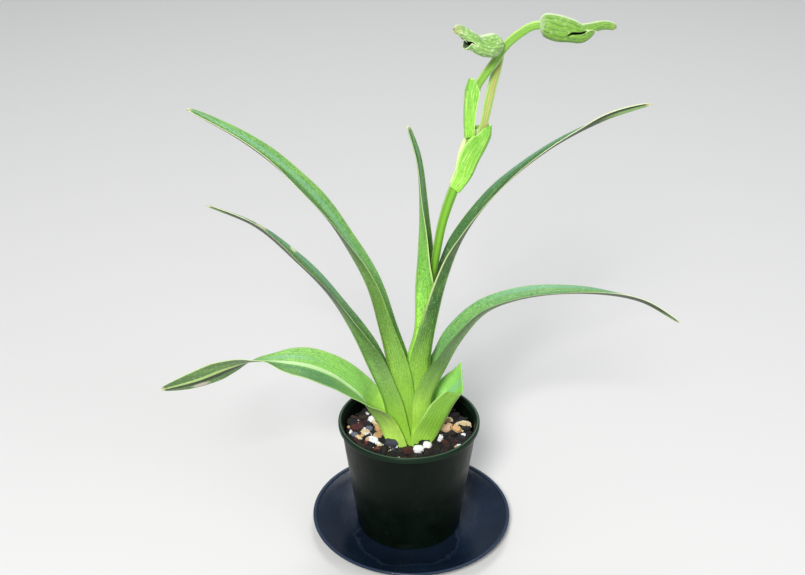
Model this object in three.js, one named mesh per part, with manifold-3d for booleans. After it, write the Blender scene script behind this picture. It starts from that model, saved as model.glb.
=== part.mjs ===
// Potted phragmipedium orchid in bud, on a saucer. Millimetres, +Z up.
// The origin is under the middle of the saucer, on its flat underside.
// The fan of leaves lies along X, and -Y is the side that faces the viewer.
import * as THREE from 'three';
import Module from 'manifold-3d';

const wasm = await Module();
wasm.setup();

// Saucer, a standard 6 inch one
const SAUCER_RADIUS = 76;
const SAUCER_FLOOR = 3;
const SAUCER_RIM_TOP = 10.4;
const SAUCER_FOOT_RADIUS = 47;

// Pot, a standard 4 inch one
const POT_X = -2;
const POT_HEIGHT = 91.7;
const POT_BASE_RADIUS = 39.1;
const POT_TOP_RADIUS = 50.3;
const POT_WALL = 1.6;
const POT_LIP_RADIUS = 52.6;
const POT_LIP_HEIGHT = 5.2;
const POT_FLOOR = 2.4;
const POT_FOOT_HEIGHT = 2.2;
const DRAIN_HOLE_RADIUS = 3.6;
const DRAIN_RING_RADIUS = 24;
const LATHE_SIDES = 56;

// Potting mix
const MIX_GAP = 0.3;
const MIX_FRONT_TOP = 77;
const MIX_BACK_RISE = 4.8;
const CHIP_COUNT = 62;
const HOLE_FLOOR = 62;

// Plant
const FAN_Y = -4;
const BLADE = 0.6;
const LEAF_RINGS = 23;
const STEM_RADIUS = 2.7;
const SEPAL = 0.8;

const V = (x, y, z) => new THREE.Vector3(x, y, z);
const radians = THREE.MathUtils.degToRad;

// One closed mesh from points and triangles, turned so that its faces look out
function closedMesh(name, points, triangles, material) {
  let volume = 0;
  for (const [a, b, c] of triangles) {
    volume += points[a].dot(points[b].clone().cross(points[c]));
  }
  const index = triangles.flatMap(([a, b, c]) => (volume < 0 ? [a, c, b] : [a, b, c]));
  const geometry = new THREE.BufferGeometry();
  geometry.setAttribute('position', new THREE.Float32BufferAttribute(points.flatMap((p) => p.toArray()), 3));
  geometry.setIndex(index);
  geometry.computeVertexNormals();
  const mesh = new THREE.Mesh(geometry, material);
  mesh.name = name;
  return mesh;
}

function material(color, roughness, metalness = 0) {
  return new THREE.MeshStandardMaterial({ color, roughness, metalness });
}

// A value read from a smooth curve through [t, value] stations, with no overshoot between them
function along(stations, t) {
  const last = stations.length - 1;
  let i = 0;
  while (i < last - 1 && t >= stations[i + 1][0]) i += 1;
  const steepness = (k) => (stations[k + 1][1] - stations[k][1]) / (stations[k + 1][0] - stations[k][0]);
  const slope = (k) => {
    if (k === 0) return steepness(0);
    if (k === last) return steepness(last - 1);
    const before = steepness(k - 1);
    const after = steepness(k);
    return before * after <= 0 ? 0 : (2 * before * after) / (before + after);
  };
  const [t0, v0] = stations[i];
  const [t1, v1] = stations[i + 1];
  const h = t1 - t0;
  const u = THREE.MathUtils.clamp((t - t0) / h, 0, 1);
  const u2 = u * u;
  const u3 = u2 * u;
  return (2 * u3 - 3 * u2 + 1) * v0 + (u3 - 2 * u2 + u) * h * slope(i)
    + (3 * u2 - 2 * u3) * v1 + (u3 - u2) * h * slope(i + 1);
}

function evenPoints(controls, steps) {
  const curve = new THREE.CatmullRomCurve3(controls.map((p) => V(...p)), false, 'centripetal');
  curve.arcLengthDivisions = 400;
  return curve.getSpacedPoints(steps);
}

function tangents(points) {
  return points.map((p, i) => {
    const before = points[Math.max(0, i - 1)];
    const after = points[Math.min(points.length - 1, i + 1)];
    return after.clone().sub(before).normalize();
  });
}

// A sheet given by rows of middle points, thickened evenly to both sides and closed at its edges
function sheetMesh(name, rows, thickness, colour) {
  const count = rows.length;
  const width = rows[0].length;
  const front = [];
  const back = [];
  for (let i = 0; i < count; i += 1) {
    for (let j = 0; j < width; j += 1) {
      const up = rows[Math.min(count - 1, i + 1)][j].clone().sub(rows[Math.max(0, i - 1)][j]);
      const across = rows[i][Math.min(width - 1, j + 1)].clone().sub(rows[i][Math.max(0, j - 1)]);
      if (i === 0 && rows.stands) up.set(0, 0, 1);
      const normal = up.cross(across).normalize().multiplyScalar(thickness / 2);
      front.push(rows[i][j].clone().add(normal));
      back.push(rows[i][j].clone().sub(normal));
    }
  }
  const points = [...front, ...back];
  const other = front.length;
  const triangles = [];
  const at = (i, j) => i * width + j;
  const quad = (a, b, c, d) => triangles.push([a, b, c], [a, c, d]);
  for (let i = 0; i < count - 1; i += 1) {
    for (let j = 0; j < width - 1; j += 1) {
      const [a, b, c, d] = [at(i, j), at(i, j + 1), at(i + 1, j + 1), at(i + 1, j)];
      triangles.push([a, b, c], [a, c, d]);
      triangles.push([other + a, other + c, other + b], [other + a, other + d, other + c]);
    }
    quad(at(i + 1, 0), other + at(i + 1, 0), other + at(i, 0), at(i, 0));
    quad(at(i, width - 1), other + at(i, width - 1), other + at(i + 1, width - 1), at(i + 1, width - 1));
  }
  for (let j = 0; j < width - 1; j += 1) {
    quad(at(0, j), other + at(0, j), other + at(0, j + 1), at(0, j + 1));
    quad(at(count - 1, j + 1), other + at(count - 1, j + 1), other + at(count - 1, j), at(count - 1, j));
  }
  return closedMesh(name, points, triangles, colour);
}

// A strap folded along its keel. side is -1 where the keel is on the left and +1 on the right.
// fold is the angle of each half from the fold's middle plane, gap the half-width of the
// channel along the keel, roll the turn of the whole section about the keel.
const ACROSS = [1, 0.6, 0.2, 0.08, 0, 0.08, 0.2, 0.6, 1];
function foldedLeaf(name, leaf, colour, steps = LEAF_RINGS) {
  const keel = evenPoints(leaf.keel, steps);
  const forward = tangents(keel);
  if (leaf.stands) forward[0].set(0, 0, 1);
  const depth = V(0, 1, 0);
  const rows = keel.map((p, i) => {
    const t = i / steps;
    const level = depth.clone().cross(forward[i]).multiplyScalar(-leaf.side).normalize();
    const near = depth.clone().addScaledVector(forward[i], -depth.dot(forward[i])).normalize().negate();
    const roll = radians(along(leaf.roll, t));
    const open = level.clone().multiplyScalar(Math.cos(roll)).addScaledVector(near, Math.sin(roll));
    const out = near.clone().multiplyScalar(Math.cos(roll)).addScaledVector(level, -Math.sin(roll));
    let reach = along(leaf.width, t);
    if (leaf.tip > 0) {
      const taper = Math.max(0, (t - 1 + leaf.tip) / leaf.tip);
      reach = (reach - leaf.blunt) * Math.sqrt(Math.max(0, 1 - taper * taper)) + leaf.blunt;
    }
    const fold = radians(along(leaf.fold, t));
    const gap = along(leaf.gap, t);
    return ACROSS.map((s, j) => {
      const half = j < 4 ? -1 : 1;
      const rise = gap * Math.sin(Math.min(1, s / 0.2) * Math.PI / 2) + reach * Math.sin(fold) * s;
      const q = p.clone().addScaledVector(open, reach * Math.cos(fold) * s).addScaledVector(out, half * rise);
      if (leaf.cut && half < 0) q.addScaledVector(forward[i], leaf.cut * s * t ** 3);
      return q;
    });
  });
  rows.stands = leaf.stands;
  return sheetMesh(name, rows, BLADE, colour);
}

// A round stalk along a curve; ribs give it a fluted skin
function stalk(name, controls, radius, steps, sides, colour, stands = false, ribs = 0) {
  const centres = evenPoints(controls, steps);
  const forward = tangents(centres);
  if (stands) forward[0].set(0, 0, 1);
  const points = [];
  centres.forEach((p, i) => {
    const side = V(0, 1, 0).cross(forward[i]).normalize();
    const front = forward[i].clone().cross(side).normalize();
    for (let k = 0; k < sides; k += 1) {
      const angle = (2 * Math.PI * k) / sides;
      const r = along(radius, i / steps) * (1 + ribs * Math.cos(angle * 6));
      const rim = p.clone().addScaledVector(side, r * Math.cos(angle));
      points.push(rim.addScaledVector(front, r * Math.sin(angle)));
    }
  });
  const bottom = points.push(centres[0].clone()) - 1;
  const top = points.push(centres[steps].clone()) - 1;
  const triangles = [];
  for (let k = 0; k < sides; k += 1) {
    const n = (k + 1) % sides;
    for (let i = 0; i < steps; i += 1) {
      const [a, b, c, d] = [i * sides + k, i * sides + n, (i + 1) * sides + n, (i + 1) * sides + k];
      triangles.push([a, b, c], [a, c, d]);
    }
    triangles.push([bottom, n, k], [top, steps * sides + k, steps * sides + n]);
  }
  return closedMesh(name, points, triangles, colour);
}

// A closed solid of revolution from an outline of [radius, z] points that starts and ends on the axis
function turned(outline, sides = LATHE_SIDES) {
  const points = [];
  const triangles = [];
  const rings = outline.map(([r, z]) => {
    if (r === 0) return [points.push(V(0, 0, z)) - 1];
    return Array.from({ length: sides }, (_, k) => {
      const angle = (2 * Math.PI * k) / sides;
      return points.push(V(r * Math.cos(angle), r * Math.sin(angle), z)) - 1;
    });
  });
  for (let i = 0; i < rings.length - 1; i += 1) {
    const [low, high] = [rings[i], rings[i + 1]];
    for (let k = 0; k < sides; k += 1) {
      const n = (k + 1) % sides;
      if (low.length === 1) triangles.push([low[0], high[k], high[n]]);
      else if (high.length === 1) triangles.push([low[k], high[0], low[n]]);
      else triangles.push([low[k], high[k], high[n]], [low[k], high[n], low[n]]);
    }
  }
  return { points, triangles };
}

// Solid for the joins and cuts
function solid({ points, triangles }) {
  let volume = 0;
  for (const [a, b, c] of triangles) volume += points[a].dot(points[b].clone().cross(points[c]));
  const faces = triangles.flatMap(([a, b, c]) => (volume < 0 ? [a, c, b] : [a, b, c]));
  return new wasm.Manifold(new wasm.Mesh({
    numProp: 3,
    vertProperties: new Float32Array(points.flatMap((p) => p.toArray())),
    triVerts: new Uint32Array(faces),
  }));
}

function meshFromSolid(name, body, colour) {
  const data = body.getMesh();
  const points = [];
  for (let i = 0; i < data.vertProperties.length; i += data.numProp) {
    points.push(V(data.vertProperties[i], data.vertProperties[i + 1], data.vertProperties[i + 2]));
  }
  const triangles = [];
  for (let i = 0; i < data.triVerts.length; i += 3) {
    triangles.push([data.triVerts[i], data.triVerts[i + 1], data.triVerts[i + 2]]);
  }
  return closedMesh(name, points, triangles, colour);
}

// Saucer: a flat foot, then a flange that curves up to a small beaded rim
function saucer() {
  const floor = SAUCER_FLOOR;
  const outline = [
    [0, 0], [SAUCER_FOOT_RADIUS, 0], [53, 1.3], [61, 3.9], [68, 6.6], [SAUCER_RADIUS - 1.4, 8.6],
    [SAUCER_RADIUS, 9.1], [SAUCER_RADIUS - 0.1, 10], [SAUCER_RADIUS - 1, SAUCER_RIM_TOP],
    [SAUCER_RADIUS - 2.4, 10.2], [68, 8.7], [61, 6.2], [53, 3.9], [SAUCER_FOOT_RADIUS - 1, floor], [0, floor],
  ];
  const { points, triangles } = turned(outline);
  return closedMesh('saucer', points, triangles, material('#3b4a5e', 0.32));
}

// Pot: straight taper, rolled lip, foot ring and drain holes in the raised floor
const potBottom = SAUCER_FLOOR;
const potTop = potBottom + POT_HEIGHT;
const lipBottom = potTop - POT_LIP_HEIGHT;
const potRadius = (z) => THREE.MathUtils.mapLinear(z, potBottom, lipBottom, POT_BASE_RADIUS, POT_TOP_RADIUS);
const potFloorTop = potBottom + POT_FOOT_HEIGHT + POT_FLOOR;

function pot() {
  const under = potBottom + POT_FOOT_HEIGHT;
  const outline = [
    [0, under], [POT_BASE_RADIUS - 3.4, under], [POT_BASE_RADIUS - 2.6, potBottom],
    [POT_BASE_RADIUS - 0.4, potBottom], [POT_BASE_RADIUS + 0.3, potBottom + 1.2],
    [potRadius(potBottom + 3), potBottom + 3], [POT_TOP_RADIUS, lipBottom],
    [POT_LIP_RADIUS - 0.5, lipBottom + 0.2], [POT_LIP_RADIUS, lipBottom + 1.2],
    [POT_LIP_RADIUS, potTop - 1.2], [POT_LIP_RADIUS - 0.6, potTop - 0.2], [POT_LIP_RADIUS - 1.6, potTop],
    [POT_LIP_RADIUS - 2.4, potTop - 0.5], [POT_TOP_RADIUS - POT_WALL, lipBottom],
    [potRadius(potFloorTop) - POT_WALL, potFloorTop], [0, potFloorTop],
  ];
  let body = solid(turned(outline));
  const drains = [[0, 0]];
  for (let k = 0; k < 4; k += 1) {
    const angle = radians(45 + 90 * k);
    drains.push([DRAIN_RING_RADIUS * Math.cos(angle), DRAIN_RING_RADIUS * Math.sin(angle)]);
  }
  for (const [x, y] of drains) {
    const [low, high] = [under - 2, potFloorTop + 2];
    const drill = turned([[0, low], [DRAIN_HOLE_RADIUS, low], [DRAIN_HOLE_RADIUS, high], [0, high]], 12);
    drill.points.forEach((p) => p.add(V(x, y, 0)));
    body = body.subtract(solid(drill));
  }
  const mesh = meshFromSolid('pot', body, material('#16301f', 0.38));
  mesh.geometry.translate(POT_X, 0, 0);
  return mesh;
}

// Seeded draw, so that the chips always lie the same
function seeded(seed) {
  let state = seed;
  return () => {
    state = (state * 1664525 + 1013904223) % 4294967296;
    return state / 4294967296;
  };
}

// The mix lies lowest in front of the fan and higher at both its ends and behind it
function mixHeight(x, y) {
  const ends = THREE.MathUtils.smoothstep(Math.abs(x - POT_X), 3, 20);
  const behind = THREE.MathUtils.smoothstep(y - FAN_Y, 0, 14);
  return MIX_FRONT_TOP + MIX_BACK_RISE * Math.max(ends, behind) + 0.5 * Math.sin(0.11 * x + 0.07 * y);
}

// A chip of bark or stone: a squashed block with knocked corners, turned at random
function chip(draw, x, y, z, size) {
  const long = size * (0.8 + 0.5 * draw());
  const wide = size * (0.55 + 0.3 * draw());
  const high = size * (0.4 + 0.25 * draw());
  const turn = new THREE.Euler(0.6 * (draw() - 0.5), 0.6 * (draw() - 0.5), Math.PI * draw());
  const outline = [[0, -high], [0.75, -0.7 * high], [1, 0.1 * high], [0.7, 0.8 * high], [0, high]];
  const { points, triangles } = turned(outline, 6);
  for (const p of points) {
    const uneven = 0.85 + 0.3 * draw();
    p.set(p.x * long * uneven, p.y * wide * uneven, p.z).applyEuler(turn).add(V(x, y, z));
  }
  return solid({ points, triangles });
}

// Straight-sided socket in the mix in which the fan of leaf bases and the flower stem stand
function socket() {
  const levels = [
    { z: HOLE_FLOOR, left: -16, right: 15.2, half: 11.2 },
    { z: 78, left: -20.8, right: 18.9, half: 13 },
    { z: 96, left: -27, right: 23.2, half: 15 },
  ];
  const points = [];
  const sides = 28;
  for (const { z, left, right, half } of levels) {
    const middle = (left + right) / 2;
    const reach = (right - left) / 2;
    for (let k = 0; k < sides; k += 1) {
      const angle = (2 * Math.PI * k) / sides;
      const blunt = 0.55;
      const cx = Math.sign(Math.cos(angle)) * Math.abs(Math.cos(angle)) ** blunt;
      const cy = Math.sign(Math.sin(angle)) * Math.abs(Math.sin(angle)) ** blunt;
      points.push(V(middle + reach * cx, FAN_Y + half * cy, z));
    }
  }
  const triangles = [];
  for (let i = 0; i < levels.length - 1; i += 1) {
    for (let k = 0; k < sides; k += 1) {
      const n = (k + 1) % sides;
      const [a, b, c, d] = [i * sides + k, i * sides + n, (i + 1) * sides + n, (i + 1) * sides + k];
      triangles.push([a, b, c], [a, c, d]);
    }
  }
  for (let k = 1; k < sides - 1; k += 1) {
    const top = (levels.length - 1) * sides;
    triangles.push([0, k + 1, k], [top, top + k, top + k + 1]);
  }
  return solid({ points, triangles });
}

// Potting mix: a plug that fills the pot, with chips of bark and stone standing out of its top
function pottingMix() {
  const wall = (z) => potRadius(z) - POT_WALL - MIX_GAP;
  const rings = [8, 18, 28, 36, 43];
  const sides = 40;
  const bottomRadius = wall(potFloorTop);
  const outline = [[0, potFloorTop], [bottomRadius, potFloorTop], [wall(79), 79]];
  for (const r of [...rings].reverse()) outline.push([r, 0]);
  outline.push([0, MIX_FRONT_TOP]);
  const plug = turned(outline, sides);
  for (const p of plug.points) {
    if (p.z === 0) p.z = mixHeight(p.x + POT_X, p.y);
  }
  let body = solid(plug);
  const draw = seeded(7);
  const golden = Math.PI * (3 - Math.sqrt(5));
  for (let k = 0; k < CHIP_COUNT; k += 1) {
    const r = 43.5 * Math.sqrt((k + 0.5) / CHIP_COUNT);
    const angle = k * golden + 0.5 * draw();
    const x = r * Math.cos(angle);
    const y = r * Math.sin(angle);
    const size = Math.min(3.4 + 2.4 * draw(), 48.2 - r - 1.2);
    body = body.add(chip(draw, x, y, mixHeight(x + POT_X, y) + 0.1, size));
  }
  body = body.subtract(socket().translate([-POT_X, 0, 0]));
  const pieces = body.decompose().sort((a, b) => b.volume() - a.volume());
  const mesh = meshFromSolid('potting_mix', pieces[0], material('#3a3029', 0.9));
  mesh.geometry.translate(POT_X, 0, 0);
  return mesh;
}

// The fan of leaves, innermost first. Each keel starts on the socket's floor.
const LEAVES = [
  {
    name: 'leaf_center', side: -1, tip: 0.35, color: '#8ed64a',
    keel: [[-1, FAN_Y, 62], [-3, FAN_Y, 112], [-3.5, FAN_Y, 147], [1.8, FAN_Y, 173], [2.4, FAN_Y, 207],
      [4.6, FAN_Y, 237], [5.6, -3, 271], [3.6, -2, 300], [-3, 0, 326]],
    width: [[0, 5.5], [0.15, 8.5], [0.3, 11.2], [0.4, 10.8], [0.47, 12], [0.6, 14], [0.8, 11.3], [1, 9]],
    fold: [[0, 0], [0.3, 0], [0.45, 0], [0.54, 4], [0.64, 48], [0.8, 76], [1, 80]],
    gap: [[0, 3.5], [0.45, 3.5], [0.6, 2.2], [0.8, 0.8], [1, 0.5]],
    roll: [[0, 0], [0.45, 0], [0.54, 2], [0.64, 6], [0.8, 5], [1, 12]],
  },
  {
    name: 'leaf_upper_right', side: 1, tip: 0.35, color: '#7cb86a',
    keel: [[8, FAN_Y, 62], [12, FAN_Y, 90], [13, FAN_Y, 112], [13.5, FAN_Y, 152], [19, FAN_Y, 187],
      [25.5, FAN_Y, 216], [35, -2, 245], [55, -5, 279.5], [89, -8, 312], [124, -10, 333], [155, -12, 344]],
    width: [[0, 13], [0.3, 13], [0.6, 12.3], [0.8, 11], [1, 10]],
    fold: [[0, 0], [0.15, 0], [0.22, 6], [0.3, 26], [0.45, 50], [0.6, 75], [0.8, 79], [1, 82]],
    gap: [[0, 4.5], [0.25, 4.5], [0.45, 2.5], [0.6, 0.8], [1, 0.5]],
    roll: [[0, 0], [0.15, -1], [0.3, -10], [0.45, -8], [0.6, -9], [0.8, -15], [1, -7]],
  },
  {
    name: 'leaf_upper_left', side: -1, tip: 0.35, color: '#7fc065',
    keel: [[-9, FAN_Y, 62], [-15, FAN_Y, 98], [-17, FAN_Y, 138], [-24, FAN_Y, 176], [-32, FAN_Y, 208],
      [-45, 0, 234], [-60, 3, 258], [-83, 6, 284], [-113, 10, 308], [-148, 14, 329]],
    width: [[0, 13], [0.15, 13.5], [0.3, 14], [0.45, 14.8], [0.6, 14.2], [0.8, 13.5], [1, 11]],
    fold: [[0, 0], [0.12, 0.5], [0.2, 7], [0.3, 22], [0.45, 52], [0.6, 69], [0.8, 63], [1, 74]],
    gap: [[0, 5.5], [0.2, 5.5], [0.4, 3], [0.6, 0.8], [1, 0.5]],
    roll: [[0, 0], [0.12, 0], [0.2, -2], [0.3, -12], [0.45, -7], [0.6, 0], [0.8, 5], [1, 2]],
  },
  {
    name: 'leaf_mid_right', side: 1, tip: 0.35, color: '#7cba6c',
    keel: [[11.5, FAN_Y, 62], [15, FAN_Y, 93], [16, FAN_Y, 118], [26, FAN_Y, 143], [37, FAN_Y, 164],
      [53.5, 0, 183.5], [79.5, 4, 194], [121, 6, 197], [161, 8, 190], [192, 10, 173]],
    width: [[0, 14], [0.3, 13.8], [0.45, 13.4], [0.6, 12.5], [0.8, 11], [1, 9.3]],
    fold: [[0, 0], [0.08, 1], [0.15, 9], [0.3, 29], [0.45, 58], [0.6, 70], [0.8, 76], [1, 79]],
    gap: [[0, 6.5], [0.15, 6.5], [0.35, 3], [0.5, 0.8], [1, 0.5]],
    roll: [[0, 0], [0.1, 0], [0.2, -4], [0.3, -6], [0.6, -10], [0.8, -17], [1, -2]],
  },
  {
    name: 'leaf_mid_left', side: -1, tip: 0.35, color: '#7db468',
    keel: [[-11.5, FAN_Y, 62], [-17.5, FAN_Y, 95], [-22, FAN_Y, 117], [-31, FAN_Y, 140], [-44.5, -6, 175],
      [-59, -8, 203], [-81, -11, 231], [-106, -14, 257], [-136, -18, 274]],
    width: [[0, 14], [0.15, 14], [0.3, 13], [0.6, 12], [1, 10.5]],
    fold: [[0, 0], [0.06, 1.5], [0.1, 5], [0.15, 12], [0.3, 33], [0.45, 57], [0.6, 70], [0.8, 68], [1, 60]],
    gap: [[0, 7.5], [0.12, 7.5], [0.35, 3], [0.6, 0.8], [1, 0.5]],
    roll: [[0, 0], [0.15, -2], [0.3, -6], [0.6, -9], [1, -20]],
  },
  {
    name: 'leaf_cut_stub', side: 1, tip: 0, cut: 15, color: '#8fd052',
    keel: [[14, FAN_Y, 62], [17, FAN_Y, 79], [22, FAN_Y, 90], [26.5, FAN_Y, 100.5], [32, FAN_Y, 112],
      [37, FAN_Y, 120]],
    width: [[0, 14], [0.5, 15.5], [1, 15]],
    fold: [[0, 0], [0.3, 6], [0.7, 22], [1, 36]],
    gap: [[0, 8.5], [0.4, 8], [1, 3]],
    roll: [[0, 0], [1, 0]],
  },
  {
    name: 'leaf_lower_left', side: -1, tip: 0.3, color: '#84c45e',
    keel: [[-14, FAN_Y, 62], [-20.5, FAN_Y, 83], [-27, FAN_Y, 96], [-34, -6, 110], [-41.5, -10, 131],
      [-70, -16, 149.5], [-96, -22, 157.5], [-122, -25, 156], [-141, -27, 151], [-158, -30, 145],
      [-176.5, -32, 139]],
    width: [[0, 14], [0.1, 16], [0.2, 17.5], [0.32, 18], [0.46, 17], [0.6, 15.5], [0.7, 12], [0.8, 10.5],
      [1, 10]],
    fold: [[0, 0], [0.1, 13], [0.2, 35], [0.32, 73], [0.46, 80], [0.6, 84], [0.7, 86], [0.9, 88], [1, 80]],
    gap: [[0, 9.6], [0.08, 9.6], [0.22, 4], [0.34, 0.8], [1, 0.5]],
    roll: [[0, 0], [0.1, 0], [0.2, -7], [0.32, 0], [0.46, 3], [0.6, -22], [0.7, -44], [0.8, -54], [1, -60]],
  },
];

// Boat-shaped bracts around the upper stem, folded like small leaves
const BRACTS = [
  {
    name: 'bract_lower', side: 1, tip: 0.5, blunt: 2.4, color: '#9be04a',
    keel: [[31.6, FAN_Y, 279], [35.3, FAN_Y, 284], [39, FAN_Y, 289.5], [43.7, FAN_Y, 301], [48.8, FAN_Y, 312],
      [51.2, FAN_Y, 319], [51.3, FAN_Y, 326]],
    width: [[0, 8.4], [0.2, 11], [0.4, 13.2], [0.6, 15], [0.8, 16], [1, 14]],
    fold: [[0, 0], [0.3, 2], [0.6, 10], [1, 20]],
    gap: [[0, 3.75], [0.5, 3.9], [0.85, 3.3], [1, 1.2]],
    roll: [[0, 0], [1, 0]],
  },
  {
    name: 'bract_upper', side: -1, tip: 0.25, blunt: 2.4, color: '#a0e24c',
    keel: [[33.9, -3, 318], [33.4, -3, 326], [33.2, -3, 333], [33.2, -3, 341], [33.9, -3, 350],
      [36.2, -3, 357.5]],
    width: [[0, 6.5], [0.3, 7.2], [0.6, 8.6], [0.85, 9.6], [1, 8]],
    fold: [[0, 0], [0.5, 3], [1, 14]],
    gap: [[0, 3.3], [0.7, 3.5], [1, 1.2]],
    roll: [[0, 0], [1, 0]],
  },
];

const STEM = [[3, FAN_Y, 62], [4.6, FAN_Y, 110], [6.6, FAN_Y, 150], [10.2, FAN_Y, 190], [15.7, FAN_Y, 227],
  [19.5, FAN_Y, 252], [22.8, FAN_Y, 266], [26.8, FAN_Y, 279], [32.7, -3.6, 299], [37.2, -3.2, 315.6],
  [38.3, -3, 328]];
const STEM_WIDTHS = [[0, STEM_RADIUS], [0.55, STEM_RADIUS], [0.72, 3.1], [0.81, 3.5], [0.85, 2.5], [1, 2.1]];

// The two ribbed ovaries, which look like stalks under their buds
const OVARY_RIBS = 0.05;
const OVARIES = [
  {
    name: 'ovary_left', color: '#b98f62',
    route: [[38.9, -3.8, 305], [43.2, -4, 316], [46.8, -3.6, 328], [49.2, 0.4, 339.6], [51.6, 4, 350],
      [54.2, 5.6, 361], [55.4, 6, 368.6], [55, 5.4, 375], [53, 2.4, 379.6], [51.7, -2.4, 380.8]],
    widths: [[0, 1.7], [0.25, 2.3], [0.45, 2.9], [0.85, 2.9], [1, 2.2]],
  },
  {
    name: 'ovary_right', color: '#a3b866',
    route: [[38.4, -3, 328.4], [39.4, -3, 341], [41.8, -3, 352.5], [45.2, -3, 358.5], [51.8, -3, 368],
      [57, -3, 376.6], [61.6, -3, 382], [67.6, -3, 387], [74.3, -3, 391.2], [78.7, -3, 392.4]],
    widths: [[0, 2.1], [0.3, 2.5], [0.9, 2.6], [1, 2.3]],
  },
];

// A bud is two overlapping sepals round one curved axis. stations: [x, y, z, half height, half depth].
const BUDS = [
  {
    side: 'left', color: '#a9cf86', lowerEnd: 0.68, drop: [[0, 0], [0.35, 0.6], [0.7, 4]],
    stations: [[51.5, -3.4, 380.8, 3.6, 3.6], [50.8, -8.5, 381.4, 6.3, 6.3], [48.8, -14, 382.4, 7.5, 7.4],
      [45, -18.6, 383.4, 7, 7], [40.5, -23, 385.4, 5.6, 5.6], [36, -27, 389.6, 4.4, 4.4],
      [31, -31, 395.4, 3, 3], [27, -34, 398.6, 2.2, 2.2], [23.8, -36, 399.4, 0.9, 0.9]],
  },
  {
    side: 'right', color: '#98c850', lowerEnd: 0.72, drop: [[0, 0], [0.35, 0], [0.7, 1.4]],
    stations: [[79.6, -3, 392.6, 3.6, 3.4], [84.5, -3, 392, 7.4, 6], [92, -3, 389.8, 8.4, 7.4],
      [99, -3, 388.6, 7.3, 7], [105.5, -3, 387.4, 5.8, 5.8], [111, -3, 389, 4.8, 4.4],
      [115.5, -3, 391.6, 3, 3], [121.5, -3, 392.6, 2.2, 2], [127.2, -3, 391.3, 0.8, 0.8]],
  },
];

// The dorsal sepal's edges tuck in under the lower sepal's
function tuck(angle) {
  return (SEPAL + 0.7) * THREE.MathUtils.smoothstep(Math.abs(angle), 82, 103);
}

function sepal(name, bud, from, to, inset, first, last, drop, colour) {
  const steps = 14;
  const across = 9;
  const centres = evenPoints(bud.stations.map((s) => s.slice(0, 3)), steps);
  const forward = tangents(centres);
  const at = (k) => k / (bud.stations.length - 1);
  const heights = bud.stations.map((s, k) => [at(k), s[3]]);
  const depths = bud.stations.map((s, k) => [at(k), s[4]]);
  const rows = [];
  for (let i = first; i <= Math.round(steps * last); i += 1) {
    const t = i / steps;
    const sideways = forward[i].clone().cross(V(0, 0, 1)).normalize();
    const up = sideways.clone().cross(forward[i]).normalize();
    rows.push(Array.from({ length: across }, (_, j) => {
      const angle = from + ((to - from) * j) / (across - 1);
      const high = Math.max(0.5, along(heights, t) + along(drop, t) - inset(angle) - SEPAL / 2);
      const deep = Math.max(0.5, along(depths, t) - inset(angle) - SEPAL / 2);
      return centres[i].clone()
        .addScaledVector(up, high * Math.cos(radians(angle)))
        .addScaledVector(sideways, deep * Math.sin(radians(angle)));
    }));
  }
  return sheetMesh(name, rows, SEPAL, colour);
}

const plant = new THREE.Group();
plant.name = 'potted_phragmipedium_orchid';
plant.add(saucer(), pot(), pottingMix());
for (const leaf of LEAVES) {
  const rings = leaf.cut ? 10 : LEAF_RINGS;
  plant.add(foldedLeaf(leaf.name, { ...leaf, stands: true, blunt: 0.5 }, material(leaf.color, 0.45), rings));
}
plant.add(stalk('flower_stem', STEM, STEM_WIDTHS, 30, 10, material('#78be30', 0.5), true));
for (const bract of BRACTS) {
  plant.add(foldedLeaf(bract.name, bract, material(bract.color, 0.5), 12));
}
for (const ovary of OVARIES) {
  const skin = material(ovary.color, 0.7);
  plant.add(stalk(ovary.name, ovary.route, ovary.widths, 20, 12, skin, false, OVARY_RIBS));
}
for (const bud of BUDS) {
  const green = material(bud.color, 0.6);
  plant.add(sepal(`dorsal_sepal_${bud.side}`, bud, -118, 118, tuck, 0, 1, [[0, 0], [1, 0]], green));
  plant.add(sepal(`synsepal_${bud.side}`, bud, 109, 251, () => 0, 1, bud.lowerEnd, bud.drop, green));
}

export default plant;
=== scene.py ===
"""Potted phragmipedium orchid in bud on its saucer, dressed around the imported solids.

Shapes are written in millimetres, in the frame of the solids, and become metres when a mesh is made.
The fan of leaves lies along X, and -Y is the side that faces the viewer.
"""

import itertools
import math
import random

import bmesh
import bpy
import numpy as np
from mathutils import Euler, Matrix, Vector, noise


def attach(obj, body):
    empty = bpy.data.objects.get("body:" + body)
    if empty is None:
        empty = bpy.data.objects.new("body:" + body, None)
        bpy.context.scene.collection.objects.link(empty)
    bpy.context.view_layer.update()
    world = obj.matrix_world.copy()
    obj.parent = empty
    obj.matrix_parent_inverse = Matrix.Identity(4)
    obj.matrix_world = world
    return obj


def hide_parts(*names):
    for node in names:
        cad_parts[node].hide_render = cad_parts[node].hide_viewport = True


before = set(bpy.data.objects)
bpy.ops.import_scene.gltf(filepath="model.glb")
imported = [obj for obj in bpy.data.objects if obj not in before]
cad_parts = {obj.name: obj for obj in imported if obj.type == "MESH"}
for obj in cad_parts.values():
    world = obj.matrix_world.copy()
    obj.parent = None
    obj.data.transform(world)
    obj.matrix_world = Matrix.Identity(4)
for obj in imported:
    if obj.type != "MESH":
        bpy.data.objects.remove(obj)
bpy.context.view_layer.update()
MM = 0.001

# Saucer
SAUCER_RADIUS = 76
SAUCER_FLOOR = 3
SAUCER_RIM_TOP = 10.4
SAUCER_FOOT_RADIUS = 47
WATER_MIDDLE = (-1, -24)
WATER_RADIUS = 38

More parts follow.
